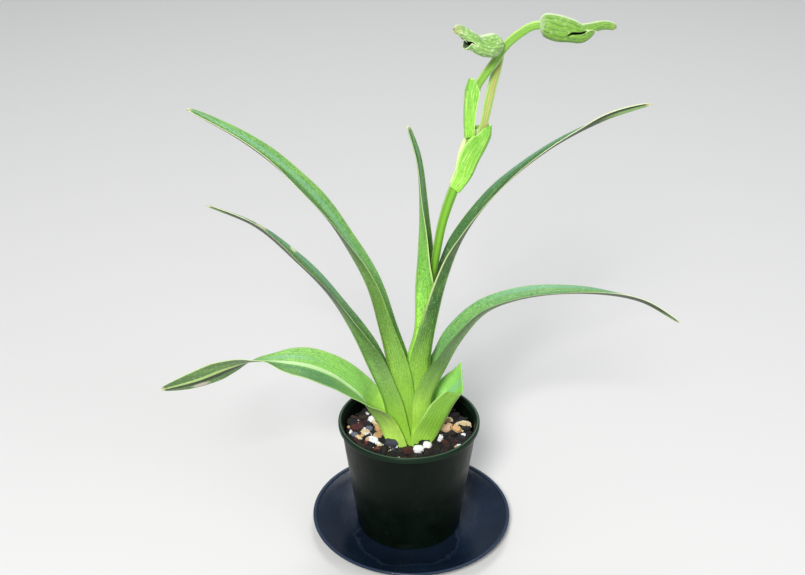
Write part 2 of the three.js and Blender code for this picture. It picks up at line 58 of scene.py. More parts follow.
# Pot
POT_X = -2
POT_BOTTOM = SAUCER_FLOOR
POT_TOP = POT_BOTTOM + 91.7
POT_BASE_RADIUS = 39.1
POT_TOP_RADIUS = 50.3
POT_WALL = 1.6
POT_LIP_RADIUS = 52.6
LIP_BOTTOM = POT_TOP - 5.2
POT_FLOOR_UNDER = POT_BOTTOM + 2.2
POT_FLOOR_TOP = POT_FLOOR_UNDER + 2.4
DRAIN_HOLE_RADIUS = 3.6
DRAIN_RING_RADIUS = 24

# Potting mix
MIX_FRONT_TOP = 77
MIX_BACK_RISE = 4.8
PLUG_REACH = 46.6
MEDIUM_CHIPS = 300
MEDIUM_REACH = 45.5
SMALL_CHIPS = 620
SMALL_REACH = 46.5
STONE_SHARE = 0.05
COARSE = 2
MEDIUM = 3
FINE = 5
GOLDEN_ANGLE = math.pi * (3 - math.sqrt(5))

# Plant
FAN_X = -0.5
FAN_Y = -4
FAN_REACH = 20
FAN_DEPTH = 9.5
LEAF_RINGS = 150
CUT_LEAF_RINGS = 60
LEAF_ACROSS = 37
LEAF_THICKNESS = 0.66
BRACT_RINGS = 70
BRACT_ACROSS = 41
BRACT_THICKNESS = 0.6
TIP_BLUNT = 0.5
COLUMN_CROWDING = 1.25
KEEL_SOFTNESS = 0.035
KEEL_SHARE = 0.2
RIB_SHARE = 0.1
WAVE_LENGTH = 7.5
SEPAL = 0.8
SEPAL_RINGS = 100
SEPAL_COLUMNS = 61
SEPAL_TUCK = 8
BUD_END = 0.045
RIB_COUNT = 6
STALK_SPREAD = 2.5
PLANT_GLOW = (0.6, 1.0, 0.25)

# The photograph's camera
IMAGE_WIDTH = 805
FOCAL_PIXELS = 1230
CAMERA_PLACE = (0, -0.767, 0.6024)
CAMERA_PITCH = 27.44
CAMERA_YAW = 0.51


def srgb(red, green, blue):
    """A linear colour from 0 to 255 display values."""
    shares = [c / 255 for c in (red, green, blue)]
    return (*(c / 12.92 if c < 0.0404 else ((c + 0.055) / 1.055) ** 2.4 for c in shares), 1)


# Curves and sheets

def along(stations, t):
    """Values of a smooth curve through {t: value} stations, with no overshoot between them."""
    places = np.array(list(stations.keys()), float)
    values = np.array(list(stations.values()), float)
    steep = np.diff(values) / np.diff(places)
    slopes = np.concatenate([steep[:1], np.zeros(len(steep) - 1), steep[-1:]])
    for k in range(1, len(steep)):
        if steep[k - 1] * steep[k] > 0:
            slopes[k] = 2 * steep[k - 1] * steep[k] / (steep[k - 1] + steep[k])
    t = np.asarray(t, float)
    i = np.clip(np.searchsorted(places, t, side="right") - 1, 0, len(places) - 2)
    width = places[i + 1] - places[i]
    u = np.clip((t - places[i]) / width, 0, 1)
    return ((2 * u**3 - 3 * u**2 + 1) * values[i] + (u**3 - 2 * u**2 + u) * width * slopes[i]
            + (3 * u**2 - 2 * u**3) * values[i + 1] + (u**3 - u**2) * width * slopes[i + 1])


def smoothstep(x, low, high):
    u = np.clip((np.asarray(x, float) - low) / (high - low), 0, 1)
    return u * u * (3 - 2 * u)


def even_points(controls, count):
    """Points at even distances on a centripetal Catmull-Rom curve, and its length.

    A control point of two numbers is an [x, z] place in the plane of the fan.
    """
    p = np.array([c if len(c) == 3 else (c[0], FAN_Y, c[1]) for c in controls], float)
    p = np.vstack([2 * p[0] - p[1], p, 2 * p[-1] - p[-2]])
    dense = []
    for p0, p1, p2, p3 in zip(p, p[1:], p[2:], p[3:]):
        t0 = 0
        t1 = t0 + np.linalg.norm(p1 - p0) ** 0.5
        t2 = t1 + np.linalg.norm(p2 - p1) ** 0.5
        t3 = t2 + np.linalg.norm(p3 - p2) ** 0.5
        t = np.linspace(t1, t2, 40, endpoint=False)[:, None]
        a1 = (t1 - t) / (t1 - t0) * p0 + (t - t0) / (t1 - t0) * p1
        a2 = (t2 - t) / (t2 - t1) * p1 + (t - t1) / (t2 - t1) * p2
        a3 = (t3 - t) / (t3 - t2) * p2 + (t - t2) / (t3 - t2) * p3
        b1 = (t2 - t) / (t2 - t0) * a1 + (t - t0) / (t2 - t0) * a2
        b2 = (t3 - t) / (t3 - t1) * a2 + (t - t1) / (t3 - t1) * a3
        dense.append((t2 - t) / (t2 - t1) * b1 + (t - t1) / (t2 - t1) * b2)
    dense = np.vstack([*dense, p[-2][None]])
    run = np.concatenate([[0], np.cumsum(np.linalg.norm(np.diff(dense, axis=0), axis=1))])
    even = np.linspace(0, run[-1], count)
    return np.stack([np.interp(even, run, dense[:, k]) for k in range(3)], -1), run[-1]


def unit(vectors):
    return vectors / np.maximum(np.linalg.norm(vectors, axis=-1, keepdims=True), 1e-12)


def directions(points):
    return unit(np.gradient(points, axis=0))


def make_piece(name, points, faces, material, replaces=(), values=None, sharp=None):
    """A closed mesh in millimetres as a piece of the object; values are point attributes by name."""
    mesh = bpy.data.meshes.new(name)
    mesh.from_pydata((np.asarray(points, float) * MM).tolist(), [], faces)
    for key, data in (values or {}).items():
        data = np.asarray(data, np.float32)
        kind = "FLOAT" if data.ndim == 1 else "FLOAT_VECTOR"
        layer = mesh.attributes.new(key, kind, "POINT")
        layer.data.foreach_set("value" if data.ndim == 1 else "vector", data.ravel())
    body = bmesh.new()
    body.from_mesh(mesh)
    bmesh.ops.recalc_face_normals(body, faces=body.faces)
    body.to_mesh(mesh)
    body.free()
    mesh.shade_smooth()
    if sharp:
        mesh.set_sharp_from_angle(angle=math.radians(sharp))
    mesh.materials.append(material)
    piece = bpy.data.objects.new(name, mesh)
    bpy.context.scene.collection.objects.link(piece)
    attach(piece, "root")
    if replaces:
        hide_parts(*replaces)
    return piece


def tube(rings, sides):
    """Faces round a tube of so many rings of points, open at both ends."""
    faces = []
    for start in range(0, (rings - 1) * sides, sides):
        for k in range(sides):
            n = (k + 1) % sides
            faces.append((start + k, start + n, start + sides + n, start + sides + k))
    return faces


def sheet(rows, thickness):
    """Thickens a grid of middle points to a closed sheet with round edges, as points and faces."""
    count, width = rows.shape[:2]
    up = np.gradient(rows, axis=0)
    across = np.gradient(rows, axis=1)
    half = np.broadcast_to(thickness, (count, width))[..., None] / 2
    normal = unit(np.cross(up, across)) * half
    first_edge = rows[:, 0] - unit(across[:, 0]) * half[:, 0]
    last_edge = rows[:, -1] + unit(across[:, -1]) * half[:, -1]
    back_rows = (rows - normal)[:, ::-1]
    rings = np.concatenate([rows + normal, last_edge[:, None], back_rows, first_edge[:, None]], 1)
    around = 2 * width + 2
    faces = tube(count, around)
    back = lambda j: 2 * width - j
    for start in (0, (count - 1) * around):
        faces.append((start, start + back(0), start + around - 1))
        faces.append((start + width - 1, start + width, start + back(width - 1)))
        for j in range(width - 1):
            faces.append((start + j, start + j + 1, start + back(j + 1), start + back(j)))
    return rings.reshape(-1, 3), faces


def ringed(front, back=None, edge=None):
    """Lays grid values out as sheet() lays its points. Back and edges repeat the front unless given."""
    back = front if back is None else back
    first = front[:, 0] if edge is None else edge
    last = front[:, -1] if edge is None else edge
    return np.concatenate([front, last[:, None], back[:, ::-1], first[:, None]], 1).reshape(-1)


# Shader nodes

class Surface:
    """A material in the making: its nodes, and the base colour as painted so far."""

    def __init__(self, name):
        self.material = bpy.data.materials.new(name)
        self.material.use_nodes = True
        self.tree = self.material.node_tree
        self.shader = self.tree.nodes["Principled BSDF"]
        self.colour = None

    def connect(self, sockets, inputs):
        """Gives input sockets a constant or another node's output."""
        for key, value in inputs.items():
            if isinstance(value, bpy.types.NodeSocket):
                self.tree.links.new(value, sockets[key])
            else:
                sockets[key].default_value = value

    def node(self, kind, inputs=None, **settings):
        made = self.tree.nodes.new(kind)
        for key, value in settings.items():
            setattr(made, key, value)
        self.connect(made.inputs, inputs or {})
        return made.outputs

    def value(self, name):
        return self.node("ShaderNodeAttribute", attribute_name=name)["Fac"]

    def vector(self, name):
        return self.node("ShaderNodeAttribute", attribute_name=name)["Vector"]

    def object_place(self):
        return self.node("ShaderNodeTexCoord")["Object"]

    def axis(self, vector, name):
        return self.node("ShaderNodeSeparateXYZ", {0: vector})[name]

    def scaled(self, vector, scale):
        return self.node("ShaderNodeVectorMath", {0: vector, 1: scale}, operation="MULTIPLY")[0]

    def calc(self, operation, a, b=0.0, c=0.0):
        return self.node("ShaderNodeMath", {0: a, 1: b, 2: c}, operation=operation)[0]

    def add(self, value, share, base):
        """A share of value added to base."""
        return self.calc("MULTIPLY_ADD", value, share, base)

    def times(self, *factors):
        made = factors[0]
        for factor in factors[1:]:
            made = self.calc("MULTIPLY", made, factor)
        return made

    def ramp(self, value, low, high, start, end):
        """Runs smoothly from start, where value is low, to end, where it is high."""
        inputs = {"Value": value, "From Min": low, "From Max": high, "To Min": start, "To Max": end}
        return self.node("ShaderNodeMapRange", inputs, interpolation_type="SMOOTHSTEP")[0]

    def step(self, value, low, high, share=1.0):
        """Nothing where value is low, and the full share where it is high."""
        return self.ramp(value, low, high, 0.0, share)

    def noise(self, vector, scale, detail=3.0, roughness=0.55):
        """Noise over a vector, scaled as a whole or by a factor for each axis."""
        if isinstance(scale, tuple):
            vector = self.scaled(vector, scale)
            scale = 1.0
        inputs = {"Vector": vector, "Scale": scale, "Detail": detail, "Roughness": roughness}
        return self.node("ShaderNodeTexNoise", inputs)["Fac"]

    def mix(self, factor, a, b, blend="MIX"):
        return self.node("ShaderNodeMix", {0: factor, 6: a, 7: b}, data_type="RGBA", blend_type=blend)[2]

    def base(self, first, second, factor):
        """Starts the base colour between two display colours."""
        self.colour = self.mix(factor, srgb(*first), srgb(*second))

    def paint(self, colour, *factors, blend="MIX"):
        """Lays a display colour over the base colour, as far as the factors' product."""
        self.colour = self.mix(self.times(*factors), self.colour, srgb(*colour), blend)

    def layer(self, colour, field, low, high, share=1.0, blend="MIX"):
        """Lays a display colour where a field runs from low to high."""
        self.paint(colour, self.step(field, low, high, share), blend=blend)

    def set(self, **values):
        """Sets the shader's inputs, named with underscores for spaces."""
        self.connect(self.shader.inputs, {key.replace("_", " "): value for key, value in values.items()})

    def finish(self, rough, relief, depth, strength, **values):
        """Joins colour, roughness and bump to the shader and returns the material."""
        inputs = {"Height": relief, "Distance": depth, "Strength": strength}
        normal = self.node("ShaderNodeBump", inputs)["Normal"]
        self.set(Base_Color=self.colour, Roughness=rough, Normal=normal, **values)
        return self.material


# Leaves

# A leaf's keel runs through [x, z] places in the plane of the fan, or [x, y, z] places off it. The rest are
# {t: value} stations along it: half its width, how far each half folds up in degrees, the room inside its
# keel, its roll about the keel in degrees, and the far half's share of the near half's size. "tip" is the
# share of its length over which it narrows, and "cut" is how far its cut end slants.
LEAVES = [
    {
        "name": "leaf_center", "side": -1, "tip": 0.35,
        "keel": [[-1, 62], [-3, 112], [-3.5, 147], [1.8, 173], [2.4, 207], [4.2, 237], [4.9, -3, 271],
                 [2.9, -2, 300], [-3.6, 0, 324]],
        "width": {0: 5.5, 0.15: 8.5, 0.3: 11.2, 0.4: 11, 0.47: 12, 0.6: 13.5, 0.8: 9.5, 1: 7},
        "fold": {0: 0, 0.45: 0, 0.54: 4, 0.6: 30, 0.65: 45, 0.7: 52, 0.75: 60, 0.8: 68, 0.85: 72, 1: 73},
        "gap": {0: 3.5, 0.45: 3.5, 0.6: 2.2, 0.8: 0.8, 1: 0.5},
        "roll": {0: 0, 0.45: 0, 0.54: 2, 0.64: 7, 0.72: 7, 0.8: 11, 0.9: 13, 1: 16},
    },
    {
        "name": "leaf_upper_right", "side": 1, "tip": 0.22,
        "keel": [[8, 62], [12, 90], [13, 112], [13.5, 152], [18.7, 187], [25, 216], [35.2, -2, 244.5],
                 [56.2, -5, 278.5], [89.8, -8, 310.8], [124.3, -10, 331.8], [153.2, -12, 343.2]],
        "width": {0: 13, 0.15: 14.5, 0.25: 15, 0.35: 13.5, 0.6: 12.3, 0.8: 11, 1: 10},
        "fold": {0: 0, 0.1: 1, 0.15: 4, 0.2: 8, 0.25: 15, 0.3: 29, 0.35: 38, 0.45: 51, 0.5: 57, 0.55: 67,
                 0.62: 75, 0.78: 79, 0.86: 78, 0.92: 68, 1: 60},
        "gap": {0: 4.5, 0.25: 4.5, 0.45: 2.5, 0.6: 0.8, 1: 0.5},
        "roll": {0: 0, 0.08: -6, 0.15: -11, 0.2: -11, 0.27: -3, 0.35: -5, 0.45: -5, 0.52: -2, 0.65: -4,
                 0.73: -10, 0.85: -18, 0.91: -25, 1: -26},
    },
    {
        "name": "leaf_upper_left", "side": -1, "tip": 0.35,
        "keel": [[-9, 62], [-15, 98], [-17, 138], [-24, 176], [-32, 208], [-45, 0, 234], [-60, 3, 258],
                 [-83, 6, 284], [-113, 10, 308], [-151, 14.5, 330.2]],
        "width": {0: 13, 0.1: 15, 0.17: 17, 0.25: 16.5, 0.35: 15, 0.45: 14.8, 0.6: 14.2, 0.8: 13.5, 1: 11},
        "fold": {0: 0, 0.1: 4, 0.15: 7, 0.2: 10, 0.25: 20, 0.3: 31, 0.35: 39, 0.4: 46, 0.5: 57, 0.6: 68,
                 0.72: 72, 0.85: 67, 1: 74},
        "gap": {0: 5.5, 0.14: 5.2, 0.28: 3.4, 0.4: 2.6, 0.6: 0.8, 1: 0.5},
        "roll": {0: 0, 0.05: -3, 0.11: -8, 0.18: -8, 0.24: -3, 0.3: -5, 0.4: -3, 0.5: -4, 0.6: 0, 0.68: 3,
                 0.8: -1, 0.9: -3, 1: -2},
    },
    {
        "name": "leaf_mid_right", "side": 1, "tip": 0.35,
        "keel": [[11.5, 62], [15, 93], [16, 118], [25.5, 143], [35.8, 165], [52.8, 0, 184.5], [79.5, 4, 194],
                 [121, 6, 197], [161, 8, 190], [191.8, 10, 171.5]],
        "width": {0: 14, 0.2: 15, 0.35: 15.5, 0.45: 14.5, 0.6: 12.5, 0.8: 11, 1: 9.3},
        "fold": {0: 0, 0.1: 2, 0.15: 8, 0.2: 16, 0.25: 30, 0.3: 39, 0.4: 52, 0.5: 64, 0.6: 70, 0.75: 75,
                 0.85: 77, 1: 74},
        "gap": {0: 6.5, 0.15: 6.5, 0.35: 3, 0.5: 0.8, 1: 0.5},
        "roll": {0: 0, 0.15: 0, 0.22: -6, 0.27: -10, 0.35: -3, 0.4: -3, 0.5: -9, 0.6: -10, 0.74: -17,
                 0.84: -25, 1: -26},
    },
    {
        "name": "leaf_mid_left", "side": -1, "tip": 0.35,
        "keel": [[-11.5, 62], [-17.5, 95], [-22, 117], [-31, 140], [-44.5, -6, 175], [-59, -8, 203],
                 [-81, -11, 231], [-106, -14, 257], [-137, -18, 274]],
        "width": {0: 14, 0.15: 14.5, 0.3: 13.5, 0.6: 12.5, 1: 10.5},
        "fold": {0: 0, 0.1: 5, 0.18: 12, 0.3: 10, 0.35: 18, 0.4: 36, 0.45: 51, 0.5: 62, 0.56: 69, 0.65: 72,
                 0.76: 74, 0.86: 77, 0.93: 75, 1: 68},
        "gap": {0: 7.5, 0.24: 7.3, 0.35: 5, 0.5: 2, 0.6: 0.8, 1: 0.5},
        "roll": {0: 0, 0.1: -4, 0.2: -4, 0.24: -3, 0.3: -9, 0.55: -11, 0.68: -10, 0.78: -15, 0.88: -23,
                 1: -26},
    },
    {
        "name": "leaf_cut_stub", "side": 1, "tip": 0, "cut": 15,
        "keel": [[14, 62], [17, 79], [22, 90], [26.5, 100.5], [32, 112], [37, 120]],
        "width": {0: 15, 0.3: 18.5, 0.6: 20, 0.8: 18.5, 1: 15},
        "fold": {0: 0, 0.3: 9, 0.5: 15, 0.6: 19, 0.7: 24, 0.8: 32, 0.9: 36, 1: 35},
        "gap": {0: 8.5, 0.4: 8, 1: 3},
        "roll": {0: 0, 0.6: -2, 0.7: -5, 0.8: -11, 0.9: -12, 1: -8},
    },
    {
        "name": "leaf_lower_left", "side": -1, "tip": 0.3,
        "far_share": {0: 1, 0.5: 1, 0.58: 0.92, 0.67: 0.62, 0.76: 0.86, 0.85: 1, 1: 1},
        "keel": [[-14, 62], [-20.5, 83], [-25, -5, 94.5], [-31, -8, 106], [-38, -10.5, 120.5],
                 [-47, -12.5, 131], [-57, -14.7, 140.5], [-74.5, -18, 150.4], [-96, -21.5, 155.8],
                 [-114, -24, 157], [-131, -26.2, 152.6], [-152, -28.5, 144.7], [-176.5, -32, 138.9]],
        "width": {0: 14, 0.1: 16, 0.2: 17.5, 0.32: 19, 0.46: 19, 0.56: 16, 0.66: 12.5, 0.8: 11.5, 0.9: 11.5,
                  1: 10},
        "fold": {0: 0, 0.1: 11, 0.15: 21, 0.18: 32, 0.21: 40, 0.24: 48, 0.27: 58, 0.3: 67, 0.34: 71,
                 0.42: 78, 0.5: 82, 0.59: 84, 0.655: 76, 0.7: 85, 0.8: 88, 1: 86},
        "gap": {0: 9.6, 0.08: 9.6, 0.22: 4, 0.34: 0.8, 1: 0.5},
        "roll": {0: 0, 0.14: 0, 0.18: -6, 0.22: -10, 0.25: -9, 0.3: -1, 0.36: 4, 0.55: 5, 0.6: -1, 0.66: -18,
                 0.76: -51, 0.82: -62, 0.9: -64, 1: -58},
    },
]

# How each leaf is coloured, in display colours. Pairs are ranges of t along the leaf, or of s across it.
# "foot", "inner" and "outer" colour the foot and the blade's two faces, and the foot ends over "foot_end".
# On the inner face "groove_shade" is painted shade, a dark band along the keel, and "rib" a pale one;
# "near_inner" is a darker blue-green on the near half, painted shade of the fold; and "sheen" is a painted
# sheen, a pale band of the far half that starts over "sheen_from". On the outer face "shade" is painted
# shade below the near margin, "under" is painted shade on the near half towards the tip, and "strip" is a
# painted shadow beside the keel. "turned" and "lit" are the bright edge and the painted lit face of a tip
# turned over.
# "lip" is the pale near edge, "margin" both edges, each from its "_from" on, and "tip_pale" the very tip.
# A stain is (t, s, length, width, colour, strength), s negative on the far half.
CREAM = (238, 232, 186)
BROWN = (70, 40, 16)
LEAF_DEFAULTS = {
    "near_inner": 0.5, "sheen": (-0.6, -0.2), "sheen_from": (0.2, 0.4), "rib": 0.0, "margin": 0.75,
    "margin_from": (0.35, 0.6), "under": 0.0, "tip_pale": 0.9, "stains": []}
LEAF_LOOKS = {
    "leaf_center": {
        "foot": (170, 246, 70), "inner": (92, 138, 64), "outer": (126, 196, 70), "foot_end": (0.45, 0.68),
        "shade": 0.25, "groove_shade": 0.3, "lip": 0.2, "lip_from": (0.5, 0.7)},
    # This leaf's outer colour is darker than the other leaves', as painted shade.
    "leaf_upper_right": {
        "foot": (176, 232, 76), "inner": (64, 110, 56), "outer": (44, 84, 24), "foot_end": (0.14, 0.46),
        "shade": 0.8, "groove_shade": 0.6, "lip": 0.6, "lip_from": (0.3, 0.45), "turned": (0.74, 0.81),
        "lit": (0.88, 0.95), "sheen": (-1.1, -0.5), "sheen_from": (0.55, 0.75), "under": 0.9},
    "leaf_upper_left": {
        "foot": (150, 204, 58), "inner": (116, 170, 90), "outer": (106, 146, 56), "foot_end": (0.05, 0.5),
        "shade": 0.6, "groove_shade": 0.45, "lip": 0.8, "lip_from": (0.55, 0.85), "under": 0.8},
    "leaf_mid_right": {
        "foot": (184, 234, 84), "inner": (110, 164, 94), "outer": (80, 116, 46), "foot_end": (0.1, 0.38),
        "shade": 0.8, "groove_shade": 0.25, "lip": 0.6, "lip_from": (0.6, 0.85), "turned": (0.76, 0.84),
        "lit": (0.93, 0.98), "sheen": (-1.1, -0.5), "under": 0.9},
    "leaf_mid_left": {
        "foot": (156, 208, 62), "inner": (96, 138, 78), "outer": (90, 126, 58), "foot_end": (0.1, 0.4),
        "shade": 0.65, "groove_shade": 0.5, "lip": 0.35, "lip_from": (0.6, 0.85), "turned": (0.85, 0.92),
        "lit": (0.93, 0.98), "sheen": (-1.1, -0.45), "under": 0.9,
        "stains": [(0.84, -0.8, 0.022, 0.3, CREAM, 0.75), (0.73, -0.85, 0.014, 0.22, CREAM, 0.7)]},
    "leaf_cut_stub": {
        "foot": (176, 226, 74), "inner": (142, 206, 94), "outer": (122, 172, 54), "foot_end": (0.1, 0.7),
        "shade": 0.15, "groove_shade": 0.0, "lip": 0.0, "lip_from": (0.4, 0.6), "margin": 0.4, "tip_pale": 0.0,
        "stains": [(0.2, 0.62, 0.05, 0.05, BROWN, 0.9)]},
    "leaf_lower_left": {
        "foot": (188, 232, 96), "inner": (134, 194, 88), "outer": (80, 108, 56), "foot_end": (0.15, 0.38),
        "shade": 0.0, "groove_shade": 0.0, "lip": 0.3, "lip_from": (0.42, 0.6), "margin": 0.6,
        "margin_from": (0.16, 0.3), "rib": 0.75, "near_inner": 0.75, "strip": (0.68, 0.72),
        "stains": [(0.88, -0.7, 0.035, 0.3, (212, 190, 186), 0.7)]},
}


def leaf_directions(leaf, keel, t):
    """Directions of each ring: forward along the keel, across the open strap, and square to both."""
    forward = directions(keel)
    if leaf.get("stands"):
        forward[0] = (0, 0, 1)
    depth = np.array([0, 1.0, 0])
    level = unit(np.cross(np.broadcast_to(depth, forward.shape), forward) * -leaf["side"])
    near = -unit(depth - (forward @ depth)[:, None] * forward)
    roll = np.radians(along(leaf["roll"], t))[:, None]
    return forward, level * np.cos(roll) + near * np.sin(roll), near * np.cos(roll) - level * np.sin(roll)


def half_width(leaf, t):
    """Half the strap's width at each ring, rounded off over its tip."""
    reach = along(leaf["width"], t)
    if leaf["tip"] > 0:
        blunt = leaf.get("blunt", TIP_BLUNT)
        taper = np.clip((t - 1 + leaf["tip"]) / leaf["tip"], 0, 1)
        reach = (reach - blunt) * np.sqrt(1 - taper**2) + blunt
    return reach


def leaf_grid(leaf, rings, columns):
    """Middle surface of a folded strap: points, t of each ring, s of each column, half-width and length."""
    keel, length = even_points(leaf["keel"], rings)
    t = np.linspace(0, 1, rings)
    forward, opening, outward = leaf_directions(leaf, keel, t)
    reach = half_width(leaf, t)
    fold = np.radians(along(leaf["fold"], t))[:, None]
    gap = along(leaf["gap"], t)[:, None]
    spread = np.linspace(-1, 1, columns)
    s = np.sign(spread) * np.abs(spread) ** COLUMN_CROWDING
    size = np.abs(s)[None]
    soft = KEEL_SOFTNESS
    run = (np.sqrt(size**2 + soft**2) - soft) / (math.sqrt(1 + soft**2) - soft)
    wave = leaf["wave"] * smoothstep(t, 0.3, 0.55)[:, None] * size**2
    ripple = np.sin(t[:, None] * length / WAVE_LENGTH + 1.7 * np.sign(s)[None]) * wave
    belly = leaf["belly"] * smoothstep(t, 0.25, 0.5)[:, None] * np.sin(np.pi * size)
    keel_room = gap * np.sin(np.minimum(1, size / KEEL_SHARE) * np.pi / 2)
    far_share = along(leaf.get("far_share", {0: 1, 1: 1}), t)[:, None]
    share = np.where(s < 0, far_share, 1)
    rise = (keel_room + reach[:, None] * np.sin(fold) * size + ripple + belly) * share
    across = reach[:, None] * np.cos(fold) * run * share
    points = keel[:, None] + across[..., None] * opening[:, None]
    points = points + (np.sign(s) * rise)[..., None] * outward[:, None]
    if leaf.get("cut"):
        far = (s < 0) * size * leaf["cut"] * (t**3)[:, None]
        points = points + far[..., None] * forward[:, None]
    return points, t, s, reach, length


def folded_piece(leaf, material, thickness, rings, columns, seed):
    """A leaf or bract. leaf_t runs along it, leaf_s across it, and leaf_face is 1 on its inner face."""
    points, t, s, reach, length = leaf_grid(leaf, rings, columns)
    rib = np.exp(-((s / RIB_SHARE) ** 2))[None]
    thin = smoothstep(t, 0.0, 0.9)[:, None]
    body = thickness * (1 - 0.25 * thin) * (1 - 0.35 * np.abs(s)[None] ** 3) + 0.25 * thin * rib
    mesh_points, faces = sheet(points, body)
    shape = (len(t), len(s))
    t_grid = np.broadcast_to(t[:, None], shape)
    s_grid = np.broadcast_to(s[None], shape)
    inner = np.full(shape, -leaf["side"], float)
    seeds = np.full(shape, 37.0 * seed)
    place = np.stack([ringed(s_grid * reach[:, None]), ringed(t_grid * length), ringed(seeds)], -1)
    values = {"leaf_t": ringed(t_grid), "leaf_s": ringed(s_grid),
              "leaf_face": ringed(inner, -inner, np.zeros(len(t))), "leaf_mm": place}
    make_piece(f"{leaf['name']}_blade", mesh_points, faces, material, (leaf["name"],), values)


class LeafSkin(Surface):
    """Waxy leaf: bright foot, greener mottled blade with faint veins, pale keel, margins and tip."""

    def __init__(self, name, look):
        super().__init__(name)
        self.look = {**LEAF_DEFAULTS, **look}
        self.t = self.value("leaf_t")
        self.s = self.value("leaf_s")
        self.size = self.calc("ABSOLUTE", self.s)
        self.face = self.value("leaf_face")
        self.inner = self.step(self.face, -0.3, 0.3)
        self.outer = self.calc("SUBTRACT", 1.0, self.inner)
        self.place = self.vector("leaf_mm")
        self.run = self.axis(self.place, "Y")
        self.cells = self.noise(self.place, (1.5, 0.9, 1.0), 3.0, 0.6)
        self.clouds = self.noise(self.place, (0.14, 0.035, 1.0), 2.0)
        self.streaks = self.noise(self.place, (1.8, 0.04, 1.0), 3.0, 0.6)
        blade_from = self.look["foot_end"][1]
        self.grown = self.step(self.t, blade_from - 0.08, blade_from + 0.1)

    def paint_blade(self):
        look = self.look
        self.base(look["outer"], look["inner"], self.inner)
        # Painted shade of the fold: the near half's inner face a darker blue-green.
        self.paint((72, 128, 88), self.inner, self.step(self.s, 0.05, 0.2, look["near_inner"]), self.grown)
        above_foot = self.step(self.add(self.clouds, 0.12, self.t), *look["foot_end"])
        self.colour = self.mix(above_foot, srgb(*look["foot"]), self.colour)

    def paint_mottle(self):
        """Patches, streaks and cells, which grow stronger away from the foot."""
        mottle = self.noise(self.place, (0.75, 0.42, 1.0), 3.0, 0.65)
        patches = self.noise(self.place, (0.4, 0.12, 1.0), 3.0, 0.6)
        away = self.ramp(self.run, 40, 140, 0.25, 1.0)
        layers = [
            (patches, 0.42, 0.68, 0.4, away, (70, 128, 66)),
            (self.clouds, 0.45, 0.75, 0.3, 1.0, (156, 208, 88)),
            (self.streaks, 0.48, 0.72, 0.4, away, (50, 94, 34)),
            (self.cells, 0.5, 0.36, 0.5, away, (46, 90, 34)),
            (self.cells, 0.56, 0.7, 0.5, away, (170, 212, 146)),
            (mottle, 0.48, 0.34, 0.55, away, (52, 98, 44)),
            (mottle, 0.56, 0.7, 0.45, away, (184, 220, 152)),
        ]
        for field, low, high, share, strength, colour in layers:
            self.paint(colour, self.step(field, low, high, share), strength)

    def paint_bands(self):
        """Bands along the two faces of the folded blade: painted shade, a painted sheen and a pale rib."""
        look, t, s, size = self.look, self.t, self.s, self.size
        folded = self.step(t, 0.42, 0.6)
        # Painted shade on the outer face below the near margin.
        self.paint((36, 60, 24), self.outer, self.step(s, 0.4, 0.85), self.step(s, 0.95, 0.92), self.grown,
                   look["shade"])
        # Painted sheen: a pale blue band on the far half's inner face.
        low, high = look["sheen"]
        self.paint((122, 176, 152), self.inner, self.step(s, low, low + 0.2),
                   self.step(s, high, high - 0.15), self.step(t, *look["sheen_from"]), folded, 0.45)
        # Painted shade: a dark band along the keel on the inner face.
        self.paint((36, 74, 40), self.inner, self.step(size, 0.2, 0.1), folded, look["groove_shade"])
        self.paint((200, 228, 172), self.inner, self.step(size, 0.13, 0.03), self.step(t, 0.12, 0.3),
                   look["rib"])
        # Painted shadow beside the keel on the far half's outer face.
        if "strip" in look:
            self.paint((22, 34, 14), self.outer, self.step(s, -0.07, -0.12), self.step(s, -0.48, -0.36),
                       self.step(t, *look["strip"]), 0.85)

    def paint_stains(self):
        for at_t, at_s, long, wide, colour, strength in self.look["stains"]:
            dt = self.calc("DIVIDE", self.calc("SUBTRACT", self.t, at_t), long)
            ds = self.calc("DIVIDE", self.calc("SUBTRACT", self.s, at_s), wide)
            far = self.calc("SQRT", self.calc("ADD", self.times(dt, dt), self.times(ds, ds)))
            self.layer(colour, self.add(self.streaks, 0.9, far), 1.5, 0.9, strength)

    def paint_edges(self):
        """Pale keel, margins and tip, painted shade on the underside towards the tip and on the thin edge,
        and the tip's painted lit face.
        """
        look, t, s, size = self.look, self.t, self.s, self.size
        near_outer = self.times(self.outer, self.step(s, 0.02, 0.08))
        self.paint((180, 208, 122), self.outer, self.step(size, 0.12, 0.04),
                   self.ramp(t, 0.1, 0.4, 0.25, 0.8))
        self.paint((186, 214, 138), self.step(size, 0.935, 0.97),
                   self.step(t, *look["margin_from"], look["margin"]))
        # Painted shade on the near half's outer face towards the tip.
        self.paint((22, 38, 14), near_outer, self.step(t, 0.48, 0.62), look["under"])
        # Painted light on the face near the keel where the tip turns over.
        if "turned" in look:
            self.paint((146, 186, 106), near_outer, self.step(s, 0.62, 0.4), self.step(t, *look["lit"]), 0.8)
        # Painted shade: the thin edge darker short of the leaf's middle, more so away from the foot.
        self.paint((84, 124, 44), self.step(self.calc("ABSOLUTE", self.face), 0.9, 0.5),
                   self.step(t, 0.6, 0.4, 0.8), self.ramp(self.run, 50, 110, 0.25, 1.0))
        self.paint((214, 226, 160), self.step(s, 0.88, 0.92), self.step(t, *look["lip_from"]), look["lip"])
        if "turned" in look:
            self.paint((218, 230, 184), self.step(s, 0.86, 0.9), self.step(t, *look["turned"]), 0.75)
        self.layer(CREAM, t, 0.985, 1.0, look["tip_pale"])


